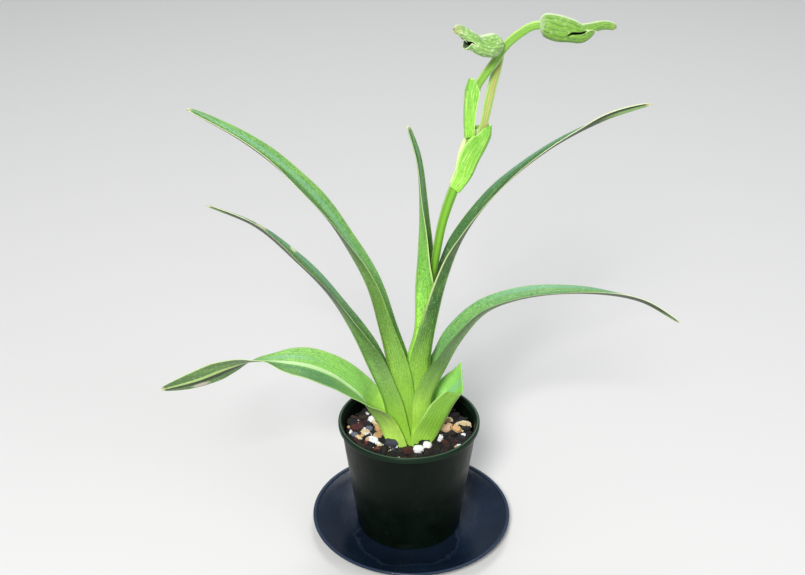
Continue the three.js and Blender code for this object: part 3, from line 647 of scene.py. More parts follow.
def leaf_material(name, look):
    skin = LeafSkin(name, look)
    skin.paint_blade()
    skin.paint_mottle()
    skin.paint_bands()
    skin.paint_stains()
    skin.paint_edges()
    veins = skin.calc("SINE", skin.calc("MULTIPLY", skin.s, 52.0))
    rough = skin.ramp(skin.cells, 0.3, 0.7, 0.34, 0.52)
    return skin.finish(rough, skin.add(veins, 0.3, skin.cells), depth=0.00022, strength=0.9,
                       Subsurface_Weight=0.06, Subsurface_Scale=0.0012, Subsurface_Radius=PLANT_GLOW,
                       Specular_IOR_Level=0.5)


def add_leaves():
    for seed, leaf in enumerate(LEAVES):
        shaped = {**leaf, "stands": True, "wave": 0.35, "belly": 0.5}
        rings = CUT_LEAF_RINGS if leaf.get("cut") else LEAF_RINGS
        material = leaf_material(f"{leaf['name']}_skin", LEAF_LOOKS[leaf["name"]])
        folded_piece(shaped, material, LEAF_THICKNESS, rings, LEAF_ACROSS, seed + 1)


# Flower stem, bracts and ovaries

BRACTS = [
    {
        "name": "bract_lower", "side": 1, "tip": 0.5, "blunt": 2.4,
        "keel": [[31.6, 279], [35.3, 284], [39, 289.5], [43.7, 301], [48.8, 312], [51.2, 319], [51.3, 326]],
        "width": {0: 8.4, 0.2: 11, 0.4: 13.2, 0.6: 15, 0.8: 16, 1: 14},
        "fold": {0: 0, 0.3: 2, 0.6: 10, 1: 20},
        "gap": {0: 3.75, 0.5: 3.9, 0.85: 3.3, 1: 1.2},
        "roll": {0: 0, 1: 0},
        "far_share": {0: 1, 0.66: 1, 0.78: 1.2, 0.92: 1.5, 1: 1.4},
    },
    {
        "name": "bract_upper", "side": -1, "tip": 0.25, "blunt": 2.4,
        "keel": [[33.9, -3, 318], [33.4, -3, 326], [33.2, -3, 333], [33.2, -3, 341], [33.9, -3, 350],
                 [36.2, -3, 357.5]],
        "width": {0: 6.5, 0.3: 7.2, 0.6: 8.6, 0.85: 9.6, 1: 8},
        "fold": {0: 0, 0.5: 3, 1: 14},
        "gap": {0: 3.3, 0.7: 3.5, 1: 1.2},
        "roll": {0: 0, 1: 0},
    },
]

STEM = [[3, 62], [4.6, 110], [6.6, 150], [10.2, 190], [15.7, 227], [19.5, 252], [22.8, 266], [26.8, 279],
        [32.7, -3.6, 299], [37.2, -3.2, 315.6], [38.3, -3, 328]]
STEM_WIDTHS = {0: 2.7, 0.55: 2.7, 0.72: 3.1, 0.81: 3.5, 0.85: 2.5, 1: 2.1}
OVARIES = [
    {
        "name": "ovary_left",
        "route": [[38.9, -3.8, 305], [43.2, -4, 316], [46.8, -3.6, 328], [49.2, 0.4, 339.6], [51.6, 4, 350],
                  [54.2, 5.6, 361], [55.4, 6, 368.6], [55, 5.4, 375], [53, 2.4, 379.6], [51.7, -2.4, 380.8]],
        "widths": {0: 1.7, 0.25: 2.3, 0.45: 2.9, 0.85: 2.9, 1: 2.2},
        "skin": (156, 192, 84), "core": (150, 128, 72), "core_share": 0.8,
    },
    {
        "name": "ovary_right",
        "route": [[38.4, -3, 328.4], [39.4, -3, 341], [41.8, -3, 352.5], [45.2, -3, 358.5], [51.8, -3, 368],
                  [57, -3, 376.6], [61.6, -3, 382], [67.6, -3, 387], [74.3, -3, 391.2], [80.6, -3, 392.6]],
        "widths": {0: 2.1, 0.3: 2.6, 0.8: 2.8, 1: 2.7},
        "skin": (116, 168, 50), "core": (112, 158, 44), "core_share": 0.6,
    },
]


def stalk_piece(name, controls, widths, material, rings, sides, ribs, stands=False):
    """A round stalk with closed ends. stalk_t runs along it, and stalk_rib is 1 on each of its ribs."""
    centres, length = even_points(controls, rings)
    forward = directions(centres)
    if stands:
        forward[0] = (0, 0, 1)
    side = unit(np.cross(np.array([0, 1.0, 0])[None], forward))
    front = np.cross(forward, side)
    t = np.linspace(0, 1, rings)
    angle = np.linspace(0, 2 * np.pi, sides, endpoint=False)
    radius = along(widths, t)[:, None] * (1 + ribs * np.cos(RIB_COUNT * angle[None]))
    for i, k in np.ndindex(radius.shape):
        spot = Vector((math.cos(angle[k]) * 2, math.sin(angle[k]) * 2, t[i] * length * 0.12))
        radius[i, k] *= 1 + 0.02 * noise.noise(spot)
    points = (centres[:, None] + (radius * np.cos(angle))[..., None] * side[:, None]
              + (radius * np.sin(angle))[..., None] * front[:, None]).reshape(-1, 3)
    points = np.vstack([points, centres[0], centres[-1]])
    bottom = rings * sides
    last = bottom - sides
    faces = tube(rings, sides)
    for k in range(sides):
        n = (k + 1) % sides
        faces.append((bottom, n, k))
        faces.append((bottom + 1, last + k, last + n))
    repeated = lambda values: np.append(np.tile(values, rings), [0, 0])
    runs = np.append(np.repeat(t, sides), [0, 1])
    place = np.stack([repeated(np.cos(angle) * STALK_SPREAD), repeated(np.sin(angle) * STALK_SPREAD),
                      runs * length], -1)
    values = {"stalk_rib": repeated(np.cos(RIB_COUNT * angle)), "stalk_t": runs, "stalk_mm": place}
    make_piece(f"{name}_skin", points, faces, material, (name,), values)


def stalk_material(name, low, high, sheen, core=None, core_share=0.0):
    """Downy stalk: colour runs from low to high along it, with a warmer core colour between its ribs."""
    skin = Surface(name)
    place = skin.vector("stalk_mm")
    streaks = skin.noise(place, (1.4, 1.4, 0.09), 4.0, 0.6)
    grain = skin.noise(place, (2.2, 2.2, 1.2))
    flank = skin.calc("ABSOLUTE", skin.calc("DIVIDE", skin.axis(place, "X"), STALK_SPREAD))
    skin.base(low, high, skin.step(skin.value("stalk_t"), 0.1, 0.9))
    if core:
        skin.layer(core, skin.add(streaks, 0.9, flank), 1.1, 0.5, core_share)
    skin.layer((80, 130, 38), skin.add(skin.value("stalk_rib"), 0.3, streaks), 0.4, 0.8, 0.4)
    # The down is pale; here it is painted lighter at the stalk's left and right sides, a painted rim
    # highlight.
    skin.layer((204, 228, 146), flank, 0.72, 0.96, 0.5)
    skin.layer((200, 220, 146), grain, 0.55, 0.85, 0.3)
    rough = skin.ramp(grain, 0.2, 0.8, 0.45, 0.62)
    return skin.finish(rough, skin.add(grain, 0.6, streaks), depth=0.00015, strength=0.6, Sheen_Weight=sheen,
                       Sheen_Roughness=0.4, Subsurface_Weight=0.15, Subsurface_Scale=0.002,
                       Subsurface_Radius=PLANT_GLOW)


def bract_material(name):
    """Bright lime bract with long darker veins, a paler margin and a pale streaked belly."""
    skin = Surface(name)
    s = skin.value("leaf_s")
    place = skin.vector("leaf_mm")
    streaks = skin.noise(place, (1.1, 0.06, 1.0), 4.0, 0.65)
    cells = skin.noise(place, (0.9, 0.35, 1.0))
    veins = skin.calc("SINE", skin.add(streaks, 4.0, skin.calc("MULTIPLY", s, 36.0)))
    skin.base((140, 200, 66), (112, 176, 50), skin.step(skin.value("leaf_t"), 0.0, 0.9))
    skin.layer((92, 158, 36), veins, 0.2, 1.0, 0.4)
    skin.layer((200, 232, 130), streaks, 0.5, 0.7, 0.7)
    skin.layer((90, 150, 38), cells, 0.5, 0.36, 0.4)
    # The inner face is paler, partly its own colour and partly painted light where the near half shades it.
    skin.layer((224, 246, 176), skin.value("leaf_face"), 0.3, 0.8, 0.85)
    skin.layer((196, 228, 136), skin.calc("ABSOLUTE", s), 0.9, 0.99, 0.6)
    rough = skin.ramp(cells, 0.2, 0.8, 0.4, 0.56)
    return skin.finish(rough, skin.add(veins, 0.4, streaks), depth=0.00016, strength=0.7, Sheen_Weight=0.2,
                       Sheen_Roughness=0.4, Subsurface_Weight=0.15, Subsurface_Scale=0.0015,
                       Subsurface_Radius=PLANT_GLOW)


def add_flower_stem():
    stem = stalk_material("stem_skin", (112, 168, 36), (106, 164, 32), 0.15)
    stalk_piece("flower_stem", STEM, STEM_WIDTHS, stem, rings=170, sides=24, ribs=0.012, stands=True)
    for seed, bract in enumerate(BRACTS):
        shaped = {**bract, "wave": 0.2, "belly": 0.3}
        material = bract_material(f"{bract['name']}_skin")
        folded_piece(shaped, material, BRACT_THICKNESS, BRACT_RINGS, BRACT_ACROSS, 20 + seed)
    for ovary in OVARIES:
        name = ovary["name"]
        colour = ovary["skin"]
        material = stalk_material(f"{name}_down", colour, colour, 0.6, ovary["core"], ovary["core_share"])
        stalk_piece(name, ovary["route"], ovary["widths"], material, rings=110, sides=36, ribs=0.06)


# Buds

# A bud's stations are [x, y, z, half height, half depth]. The dorsal sepal's edges lie at "seam" degrees
# from the top. The lower sepal hangs by "drop" and stops at "lower_end", and its edges stand off the dorsal
# one's by "gape" degrees from "opens" to "shuts".
BUDS = [
    {
        "side": "left", "lower_end": 0.69, "opens": (0.52, 0.6), "shuts": (1, 1.1), "gape": 2,
        "drop": {0: 0, 0.53: 0, 0.6: 1.1, 0.69: 3.6},
        "seam": {0: 150, 0.5: 148, 0.58: 120, 0.68: 110, 0.77: 156, 1: 168},
        "stations": [[51.5, -3.4, 380.8, 3.8, 3.8], [50.8, -8.5, 381.4, 6.6, 6.5],
                     [48.8, -14, 382.4, 7.6, 7.5], [45, -18.6, 383.4, 7, 7], [40.5, -23, 385.4, 5.7, 5.7],
                     [36, -27, 389.6, 4.6, 4.6], [31, -31, 395, 3.6, 3.6], [27.4, -33.6, 397.6, 3, 3],
                     [24.6, -35.5, 398.2, 2.5, 2.5]],
        "colour": (146, 190, 100), "flush": (172, 152, 116), "flush_share": 0.45, "bloom": 0.7, "veins": 0.2,
    },
    {
        "side": "right", "lower_end": 0.7, "opens": (0.32, 0.39), "shuts": (0.58, 0.66), "gape": 20,
        "drop": {0: 0, 0.4: 0, 0.54: 0.6, 0.62: 0, 0.7: -1.4},
        "seam": {0: 152, 0.24: 150, 0.33: 112, 0.42: 78, 0.6: 66, 0.67: 76, 0.76: 150, 1: 166},
        "stations": [[79.3, -3, 392.6, 4.1, 3.8], [83.4, -3, 392.5, 7.4, 6.1], [91, -3, 390.2, 8.5, 7.4],
                     [99, -3, 388.6, 7.4, 7], [105.5, -3, 387.4, 5.9, 5.9], [111, -3, 389, 4.8, 4.5],
                     [115.5, -3, 391.4, 3.3, 3.2], [121.5, -3, 392.2, 2.7, 2.6], [127.6, -3, 391, 2.3, 2.2]],
        "colour": (110, 158, 36), "flush": (140, 160, 84), "flush_share": 0.6, "bloom": 0.22, "veins": 0.6,
    },
]


def sepal_angles(bud, lower, t, border):
    """Each point's angle round the bud in degrees and how far it is set in, and how far each ring hangs."""
    seam = along(bud["seam"], t)[:, None]
    if not lower:
        angle = border[None] * seam
        return angle, np.zeros_like(angle), 0
    free = smoothstep(t, *bud["opens"])[:, None]
    gape = bud["gape"] * free * (1 - smoothstep(t, *bud["shuts"]))[:, None]
    angle = 180 + border[None] * (180 - seam + SEPAL_TUCK * (1 - free) - gape)
    inset = (SEPAL + 0.1) * smoothstep(np.abs(border), 0.7, 0.92)[None] * (1 - free)
    return angle, inset, along(bud["drop"], t)[:, None]


def closed_ends(t):
    """A factor for each ring's size that rounds the bud off at its base and its beak."""
    beak = np.clip((t - 1 + BUD_END) / BUD_END, 0, 1)
    base = np.clip((BUD_END - t) / BUD_END, 0, 1)
    return (np.sqrt(np.maximum(0.02, 1 - beak**2)) * np.sqrt(np.maximum(0.04, 1 - base**2)))[:, None]


def sepal_relief(turn, run, high):
    """Soft dents and ribs in millimetres, fading where the bud is thin."""
    relief = np.zeros_like(high)
    for (i, j), a in np.ndenumerate(turn):
        spot = Vector((math.cos(a) * 1.3, math.sin(a) * 1.3, run[i] * 0.09))
        fine = Vector((math.cos(a) * 5, math.sin(a) * 5, run[i] * 0.12))
        dents = 0.28 * noise.noise(spot) + 0.12 * noise.noise(fine) + 0.08 * math.cos(a * 16)
        relief[i, j] = min(1, high[i, j] / 3) * dents
    return relief


def sepal_piece(name, bud, lower, material, seed):
    """A sepal wrapped round the bud's axis: the dorsal one above its seams, the lower one closing it below.

    The lower sepal's edges tuck in under the dorsal one's, and leave them towards the mouth of the bud.
    leaf_s is the angle as a share of a half turn, leaf_t runs along the bud.
    """
    stations = np.array(bud["stations"], float)
    centres, length = even_points(stations[:, :3].tolist(), SEPAL_RINGS)
    forward = directions(centres)
    steps = np.linalg.norm(np.diff(stations[:, :3], axis=0), axis=1)
    share = np.concatenate([[0], np.cumsum(steps) / steps.sum()])
    t = np.linspace(0, 1, SEPAL_RINGS)
    border = np.linspace(-1, 1, SEPAL_COLUMNS)
    angle, inset, fall = sepal_angles(bud, lower, t, border)
    height, depth = (along(dict(zip(share, stations[:, k])), t)[:, None] for k in (3, 4))
    high = np.maximum(0.5, height * closed_ends(t) + fall - inset - SEPAL / 2)
    deep = np.maximum(0.5, depth * closed_ends(t) - inset - SEPAL / 2)
    turn = np.radians(angle)
    relief = sepal_relief(turn, t * length, high)
    upright = ((high + relief) * np.cos(turn))[..., None]
    level = ((deep + relief) * np.sin(turn))[..., None]
    sideways = unit(np.cross(forward, np.array([0, 0, 1.0])[None]))
    up = np.cross(sideways, forward)
    keep = t <= (bud["lower_end"] if lower else 1) + 1e-6
    points = (centres[:, None] + upright * up[:, None] + level * sideways[:, None])[keep]
    t = t[keep]
    mesh_points, faces = sheet(points, SEPAL)
    shape = points.shape[:2]
    t_grid = np.broadcast_to(t[:, None], shape)
    outer = np.ones(shape)
    last = smoothstep(t, bud["lower_end"] - 0.035, bud["lower_end"])[:, None] if lower else 0
    border_grid = np.maximum(np.broadcast_to(np.abs(border)[None], shape), last)
    place = np.stack([ringed(level[keep, :, 0]), ringed(t_grid * length),
                      ringed(upright[keep, :, 0] + 31.0 * seed)], -1)
    values = {"leaf_t": ringed(t_grid), "leaf_s": ringed(angle[keep] / 180), "leaf_mm": place,
              "leaf_border": ringed(border_grid), "leaf_face": ringed(-outer, outer, np.zeros(len(t)))}
    make_piece(f"{name}_down", mesh_points, faces, material, (name,), values)


def bud_material(name, bud):
    """Downy sepal: green with long veins, a warm flush at the beak, a pale bloom, a painted top highlight
    and painted shade inside.
    """
    skin = Surface(name)
    t = skin.value("leaf_t")
    s = skin.value("leaf_s")
    place = skin.vector("leaf_mm")
    streaks = skin.noise(place, (1.1, 0.12, 1.1), 4.0, 0.65)
    cells = skin.noise(place, (0.5, 0.3, 0.5), 4.0, 0.6)
    grain = skin.noise(place, (3.0, 2.4, 3.0), 2.0)
    veins = skin.calc("SINE", skin.add(cells, 5.0, skin.calc("MULTIPLY", s, 50.0)))
    skin.base(bud["colour"], (82, 132, 36), skin.step(streaks, 0.35, 0.65, 0.65))
    skin.layer((58, 98, 20), veins, 0.3, 1.0, bud["veins"])
    skin.layer((212, 236, 176), cells, 0.5, 0.7, bud["bloom"])
    skin.layer((220, 236, 200), t, 0.08, 0.0, 0.6)
    skin.layer(bud["flush"], t, 0.88, 0.98, bud["flush_share"])
    # Pale down along the top of the bud, painted lighter as a rim highlight.
    skin.layer((220, 238, 190), skin.calc("ABSOLUTE", s), 0.16, 0.0, 0.7)
    skin.paint((216, 234, 180), skin.step(skin.value("leaf_border"), 0.93, 1.0, 0.6),
               skin.step(t, 0.56, 0.64))
    skin.layer((220, 236, 190), grain, 0.56, 0.8, 0.3)
    # Painted shade: the sepals' inner face dark, as the inside of the closed bud.
    skin.layer((34, 52, 16), skin.value("leaf_face"), -0.1, -0.6, 0.85)
    rough = skin.ramp(cells, 0.2, 0.8, 0.5, 0.68)
    relief = skin.add(veins, 0.4, skin.calc("ADD", streaks, grain))
    return skin.finish(rough, relief, depth=0.00026, strength=0.9, Sheen_Weight=0.35, Sheen_Roughness=0.35,
                       Subsurface_Weight=0.1, Subsurface_Scale=0.002, Subsurface_Radius=(0.6, 1.0, 0.3))


def add_buds():
    for seed, bud in enumerate(BUDS):
        side = bud["side"]
        material = bud_material(f"bud_{side}_down", bud)
        sepal_piece(f"dorsal_sepal_{side}", bud, False, material, seed)
        sepal_piece(f"synsepal_{side}", bud, True, material, seed)


# Pot and saucer

def turned(outline, sides):
    """Points and faces of a solid of revolution from [radius, z] points that start and end on the axis."""
    points, faces, rings = [], [], []
    for radius, z in outline:
        start = len(points)
        if radius == 0:
            points.append((0, 0, z))
            rings.append([start])
            continue
        for k in range(sides):
            angle = 2 * math.pi * k / sides
            points.append((radius * math.cos(angle), radius * math.sin(angle), z))
        rings.append(list(range(start, start + sides)))
    for low, high in zip(rings, rings[1:]):
        for k in range(sides):
            n = (k + 1) % sides
            if len(low) == 1:
                faces.append((low[0], high[k], high[n]))
            elif len(high) == 1:
                faces.append((low[k], high[0], low[n]))
            else:
                faces.append((low[k], high[k], high[n], low[n]))
    return np.array(points, float), faces


def arc(centre, radius, start, end, steps):
    """Outline points on an arc in the r-z plane; angles in degrees from the r axis."""
    angles = np.radians(np.linspace(start, end, steps))
    return [[centre[0] + radius * math.cos(a), centre[1] + radius * math.sin(a)] for a in angles]


def wall_radius(z):
    share = (z - POT_BOTTOM) / (LIP_BOTTOM - POT_BOTTOM)
    return POT_BASE_RADIUS + (POT_TOP_RADIUS - POT_BASE_RADIUS) * share


def cut_drains(pot):
    """Cuts the drain hole in the middle and the four round it, with an applied Boolean each."""
    places = [(0, 0)]
    for k in range(4):
        angle = math.radians(45 + 90 * k)
        places.append((DRAIN_RING_RADIUS * math.cos(angle), DRAIN_RING_RADIUS * math.sin(angle)))
    for x, y in places:
        depth = (POT_FLOOR_TOP - POT_FLOOR_UNDER + 4) * MM
        middle = (POT_FLOOR_TOP + POT_FLOOR_UNDER) / 2 * MM
        bpy.ops.mesh.primitive_cylinder_add(vertices=32, radius=DRAIN_HOLE_RADIUS * MM, depth=depth,
                                            location=((x + POT_X) * MM, y * MM, middle))
        drill = bpy.context.object
        cut = pot.modifiers.new("drain", "BOOLEAN")
        cut.operation = "DIFFERENCE"
        cut.solver = "EXACT"
        cut.object = drill
        bpy.context.view_layer.objects.active = pot
        bpy.ops.object.modifier_apply(modifier=cut.name)
        bpy.data.objects.remove(drill)


def pot_material():
    """Near-black green plastic with water spots and a few scuffs; the lip painted lighter, with a painted
    highlight on top and painted shadow below.
    """
    skin = Surface("pot_plastic")
    place = skin.object_place()
    z = skin.axis(place, "Z")
    haze = skin.noise(place, 60.0, 4.0, 0.6)
    drawn = skin.noise(skin.scaled(place, (1.0, 1.0, 0.12)), 420.0)
    skin.base((4, 11, 6), (8, 18, 11), skin.step(haze, 0.3, 0.75))
    # Painted light: the upturned lip paler than the wall.
    lip = skin.step(z, LIP_BOTTOM * MM, (LIP_BOTTOM + 0.7) * MM)
    skin.paint((16, 33, 22), lip)
    # Painted highlight along the lip's top edge.
    skin.layer((92, 116, 96), z, (POT_TOP - 0.2) * MM, (POT_TOP - 0.04) * MM, 0.5)
    # Painted shadow: a dark line under the lip.
    skin.paint((3, 8, 5), skin.step(z, (LIP_BOTTOM - 2.6) * MM, (LIP_BOTTOM - 0.6) * MM),
               skin.calc("SUBTRACT", 1.0, lip), 0.8)
    skin.layer((110, 130, 112), skin.noise(place, 700.0, 2.0), 0.74, 0.8, 0.35)
    rough = skin.add(skin.step(haze, 0.35, 0.7), 0.1, skin.ramp(drawn, 0.3, 0.8, 0.3, 0.4))
    return skin.finish(rough, skin.add(drawn, 0.5, haze), depth=0.00008, strength=0.5,
                       Specular_IOR_Level=0.09)


def saucer_material():
    """Dark slate plastic with a soft gloss, dull scuffs, dust, a film of water round the pot, and painted
    highlights on the rim and the water's edge.
    """
    skin = Surface("saucer_plastic")
    place = skin.object_place()
    haze = skin.noise(place, 28.0, 5.0, 0.6)
    rubs = skin.noise(skin.scaled(place, (1.0, 0.22, 1.0)), 170.0, 4.0, 0.7)
    skin.base((14, 25, 39), (20, 33, 50), skin.step(haze, 0.3, 0.75))
    skin.layer((70, 82, 100), rubs, 0.68, 0.78, 0.4)
    skin.layer((128, 138, 154), skin.noise(place, 900.0, 2.0), 0.72, 0.8, 0.4)
    # Painted highlight along the rim's top edge.
    skin.layer((58, 72, 96), skin.axis(place, "Z"), (SAUCER_RIM_TOP - 0.5) * MM,
               (SAUCER_RIM_TOP - 0.1) * MM, 0.4)
    middle = (WATER_MIDDLE[0] * MM, WATER_MIDDLE[1] * MM, 0)
    flat = skin.scaled(place, (1, 1, 0))
    reach = skin.node("ShaderNodeVectorMath", {0: flat, 1: middle}, operation="DISTANCE")["Value"]
    shore = skin.add(skin.calc("SUBTRACT", haze, 0.5), 0.03, reach)
    wet = skin.step(shore, (WATER_RADIUS + 0.5) * MM, (WATER_RADIUS - 0.5) * MM)
    skin.paint((10, 14, 20), wet, 0.4)
    # Painted highlight: a thin pale line at the water's edge.
    skin.paint((74, 90, 112), skin.step(shore, (WATER_RADIUS + 1) * MM, WATER_RADIUS * MM),
               skin.step(shore, (WATER_RADIUS - 2) * MM, (WATER_RADIUS - 0.2) * MM), 0.14)
    dry_rough = skin.add(skin.step(rubs, 0.5, 0.75), 0.15, skin.ramp(haze, 0.3, 0.8, 0.2, 0.3))
    rough = skin.add(wet, -0.14, dry_rough)
    return skin.finish(rough, skin.add(rubs, 0.4, haze), depth=0.00006, strength=0.5, Specular_IOR_Level=0.2)


def add_saucer():
    floor = SAUCER_FLOOR
    foot = SAUCER_FOOT_RADIUS
    rim = SAUCER_RADIUS
    outline = [[0, 0], [foot - 0.5, 0], [foot, 0.1], [50, 0.6], [53, 1.3], [57, 2.5], [61, 3.9], [65, 5.4],
               [68, 6.6], [71.5, 7.8], [rim - 1.4, 8.6]]
    outline += arc((rim - 1.2, SAUCER_RIM_TOP - 0.8), 1.1, -60, 80, 9)
    outline += arc((rim - 1.9, SAUCER_RIM_TOP - 0.9), 0.9, 90, 150, 4)
    outline += [[71.5, 9.6], [68, 8.7], [65, 7.6], [61, 6.2], [57, 5], [53, 3.9], [50, 3.4],
                [foot, floor + 0.1], [foot - 1, floor], [foot - 6, floor], [0, floor]]
    points, faces = turned(outline, sides=256)
    make_piece("saucer_dish", points, faces, saucer_material(), ("saucer",), sharp=40)


def add_pot():
    inner = POT_TOP_RADIUS - POT_WALL
    lip = POT_LIP_RADIUS
    foot = POT_BASE_RADIUS
    outline = [[0, POT_FLOOR_UNDER], [foot - 3.4, POT_FLOOR_UNDER], [foot - 2.6, POT_BOTTOM],
               [foot - 0.9, POT_BOTTOM]]
    outline += arc((foot - 0.9, POT_BOTTOM + 1.3), 1.3, -80, 0, 6)
    outline += [[wall_radius(z), z] for z in np.linspace(POT_BOTTOM + 3, LIP_BOTTOM - 0.6, 24)]
    outline += arc((POT_TOP_RADIUS + 0.7, LIP_BOTTOM - 0.1), 0.6, 180, 90, 4)
    outline += arc((lip - 1.1, LIP_BOTTOM + 1.7), 1.1, -80, 0, 6)
    outline += arc((lip - 1.3, POT_TOP - 1.3), 1.3, 0, 100, 9)
    outline += arc((lip - 2.0, POT_TOP - 1.1), 0.9, 110, 180, 5)
    outline += [[inner + 0.6, LIP_BOTTOM + 2], [inner, LIP_BOTTOM - 0.6]]
    outline += [[wall_radius(z) - POT_WALL, z] for z in np.linspace(LIP_BOTTOM - 3, POT_FLOOR_TOP, 12)]
    outline += [[0, POT_FLOOR_TOP]]
    points, faces = turned(outline, sides=192)
    points[:, 0] += POT_X
    pot = make_piece("pot_shell", points, faces, pot_material(), ("pot",))
    cut_drains(pot)
    pot.data.set_sharp_from_angle(angle=math.radians(35))


# Potting mix

def mix_height(x, y):
    """The mix lies lowest in front of the fan and higher at both its ends and behind it."""
    ends = smoothstep(abs(x - POT_X), 3, 20)
    behind = smoothstep(y - FAN_Y, 0, 14)
    return float(MIX_FRONT_TOP + MIX_BACK_RISE * max(ends, behind) + 0.5 * math.sin(0.11 * x + 0.07 * y))


STONE_WHITE = (246, 248, 246)
STONE_GREY = (96, 102, 118)
CHARCOAL = (15, 15, 20)
BLACK_BARK = (10, 8, 8)
MAROON = (70, 28, 26)
RED_BARK = (118, 54, 34)
OCHRE = (206, 168, 112)
CREAM_CHIP = (226, 206, 164)
TAN = (202, 168, 132)

# Chips that stand out: kind, place, lengths along, across and up, turn in degrees, colour
NAMED_CHIPS = [
    ("stone", (-30, 12, 85), (3.2, 2.6, 3.4), 20, STONE_WHITE),
    ("bark", (-27.4, 6.4, 85), (4.2, 1.3, 1.4), -60, CREAM_CHIP),
    ("bark", (-25, 0.5, 85.4), (3.6, 2.6, 2.4), 100, OCHRE),
    ("bark", (-23.6, -6.2, 84.4), (3.8, 2.4, 1.8), 20, OCHRE),
    ("bark", (-41, 1.5, 84.4), (5.2, 3.8, 2.4), 15, MAROON),
    ("bark", (-34.6, -3.6, 84.4), (3.2, 2.4, 1.8), -30, CREAM_CHIP),
    ("bark", (-32.6, -5.8, 84), (2.6, 1.8, 1.6), 20, STONE_WHITE),
    ("bark", (-45, -2.4, 84), (3, 1.1, 1.2), 70, STONE_WHITE),
    ("stone", (-42.4, -5.6, 83.6), (3, 2.2, 1.8), 20, STONE_GREY),
    ("bark", (-39.2, -10.2, 83.4), (3.6, 1.3, 1.3), -55, CREAM_CHIP),
    ("bark", (-34, -15, 82), (4.2, 2.4, 1.8), -10, RED_BARK),
    ("stone", (-23, -18.4, 81.2), (3.6, 2.6, 2.2), 30, STONE_WHITE),
    ("bark", (-25.2, -14.6, 82.4), (3.2, 1.1, 1.2), -50, STONE_WHITE),
    ("bark", (-18.2, -19.2, 81), (3.6, 2, 1.8), -50, CREAM_CHIP),
    ("bark", (-15.2, -16.4, 83.6), (4.6, 3.2, 3), 15, (58, 60, 74)),
    ("stone", (-11.2, -16.6, 80.4), (1.1, 0.9, 0.9), 0, STONE_WHITE),
    ("bark", (-12.6, -21.4, 80), (3.4, 0.9, 1), -50, STONE_GREY),
    ("bark", (-2.8, -20, 79.6), (4.2, 2.8, 2), 20, MAROON),
    ("bark", (-7.8, -20.6, 79.2), (3.2, 2.4, 1.8), 70, (52, 40, 44)),
    ("stone", (5.2, -20.2, 80.8), (4.4, 3, 3.4), 8, STONE_WHITE),
    ("stone", (11.6, -17.8, 82.4), (3.6, 2.8, 3.6), -30, STONE_WHITE),
    ("curl", (26.4, 11, 84.6), (4.4, 4.4, 1.9), 30, CREAM_CHIP),
    ("bark", (24.4, 0.6, 84.8), (4.6, 3.6, 2.4), 20, TAN),
    ("bark", (27.6, 3.4, 85), (3.4, 2.6, 2), 60, TAN),
    ("bark", (33.4, 0.4, 84.6), (3.8, 2.6, 2.2), -40, OCHRE),
    ("curl", (37.6, 6, 84.6), (6.6, 5.6, 1.8), 20, CREAM_CHIP),
    ("stone", (38.4, -4.6, 83.2), (2, 1.5, 1.2), 0, STONE_WHITE),
    ("bark", (21.6, -9.4, 83.2), (3.6, 1.9, 2), 75, STONE_WHITE),
    ("bark", (25.6, -13.6, 82), (3.4, 2.6, 1.8), 20, MAROON),
    ("stone", (22.2, -18.6, 80.8), (1.8, 1.4, 1.2), 0, STONE_GREY),
    ("bark", (29, -5.6, 83.6), (4.4, 3.6, 2.2), 30, BLACK_BARK),
    ("bark", (17, -15.4, 81.4), (3.8, 3, 2.2), 60, BLACK_BARK),
    ("bark", (40.6, 3, 83.2), (3.6, 2.8, 1.8), 0, CHARCOAL),
    ("bark", (-38.6, -1.4, 84), (3, 2.4, 1.8), 30, CHARCOAL),
    ("bark", (-31.4, 0.6, 84.4), (2.6, 2.2, 1.8), -20, STONE_GREY),
    ("bark", (-20.6, -12.8, 83), (3.6, 2.6, 2.4), -40, BLACK_BARK),
]
SPLINTER = ("bark", (9.6, -14.4, 83.4), (5, 1.6, 1.7), (0.1, 0, math.radians(38)), BLACK_BARK)

# The colours of the loose bark, and how often each is drawn
LOOSE_BARK = (
    [CHARCOAL, BLACK_BARK, BLACK_BARK, CHARCOAL, (30, 23, 20), (34, 31, 38), MAROON, (52, 34, 26), RED_BARK,
     TAN, OCHRE, CREAM_CHIP],
    [10, 12, 10, 8, 8, 6, 3, 5, 2, 1.2, 1, 0.6],
)


def block(resolution):
    """Unit cube shell as points and quads with shared corners."""
    index, points, faces = {}, [], []
    steps = np.linspace(-1, 1, resolution + 1)

    def corner(p):
        key = tuple(np.round(p, 5))
        if key not in index:
            index[key] = len(points)
            points.append(p)
        return index[key]

    for axis, sign, a, b in itertools.product(range(3), (-1, 1), range(resolution), range(resolution)):
        quad = []
        for u, v in ((a, b), (a + 1, b), (a + 1, b + 1), (a, b + 1)):
            p = [0, 0, 0]
            p[axis] = sign
            p[(axis + 1) % 3] = steps[u]
            p[(axis + 2) % 3] = steps[v]
            quad.append(corner(p))
        faces.append(quad if sign > 0 else quad[::-1])
    return np.array(points, float), faces


BLOCKS = {cuts: block(cuts) for cuts in (COARSE, MEDIUM, FINE)}

# How round each kind of chip is, how ragged, and how fine its dents are
CHIP_FORMS = {"bark": (0.32, 0.34, 1.4), "stone": (0.85, 0.12, 1.1)}


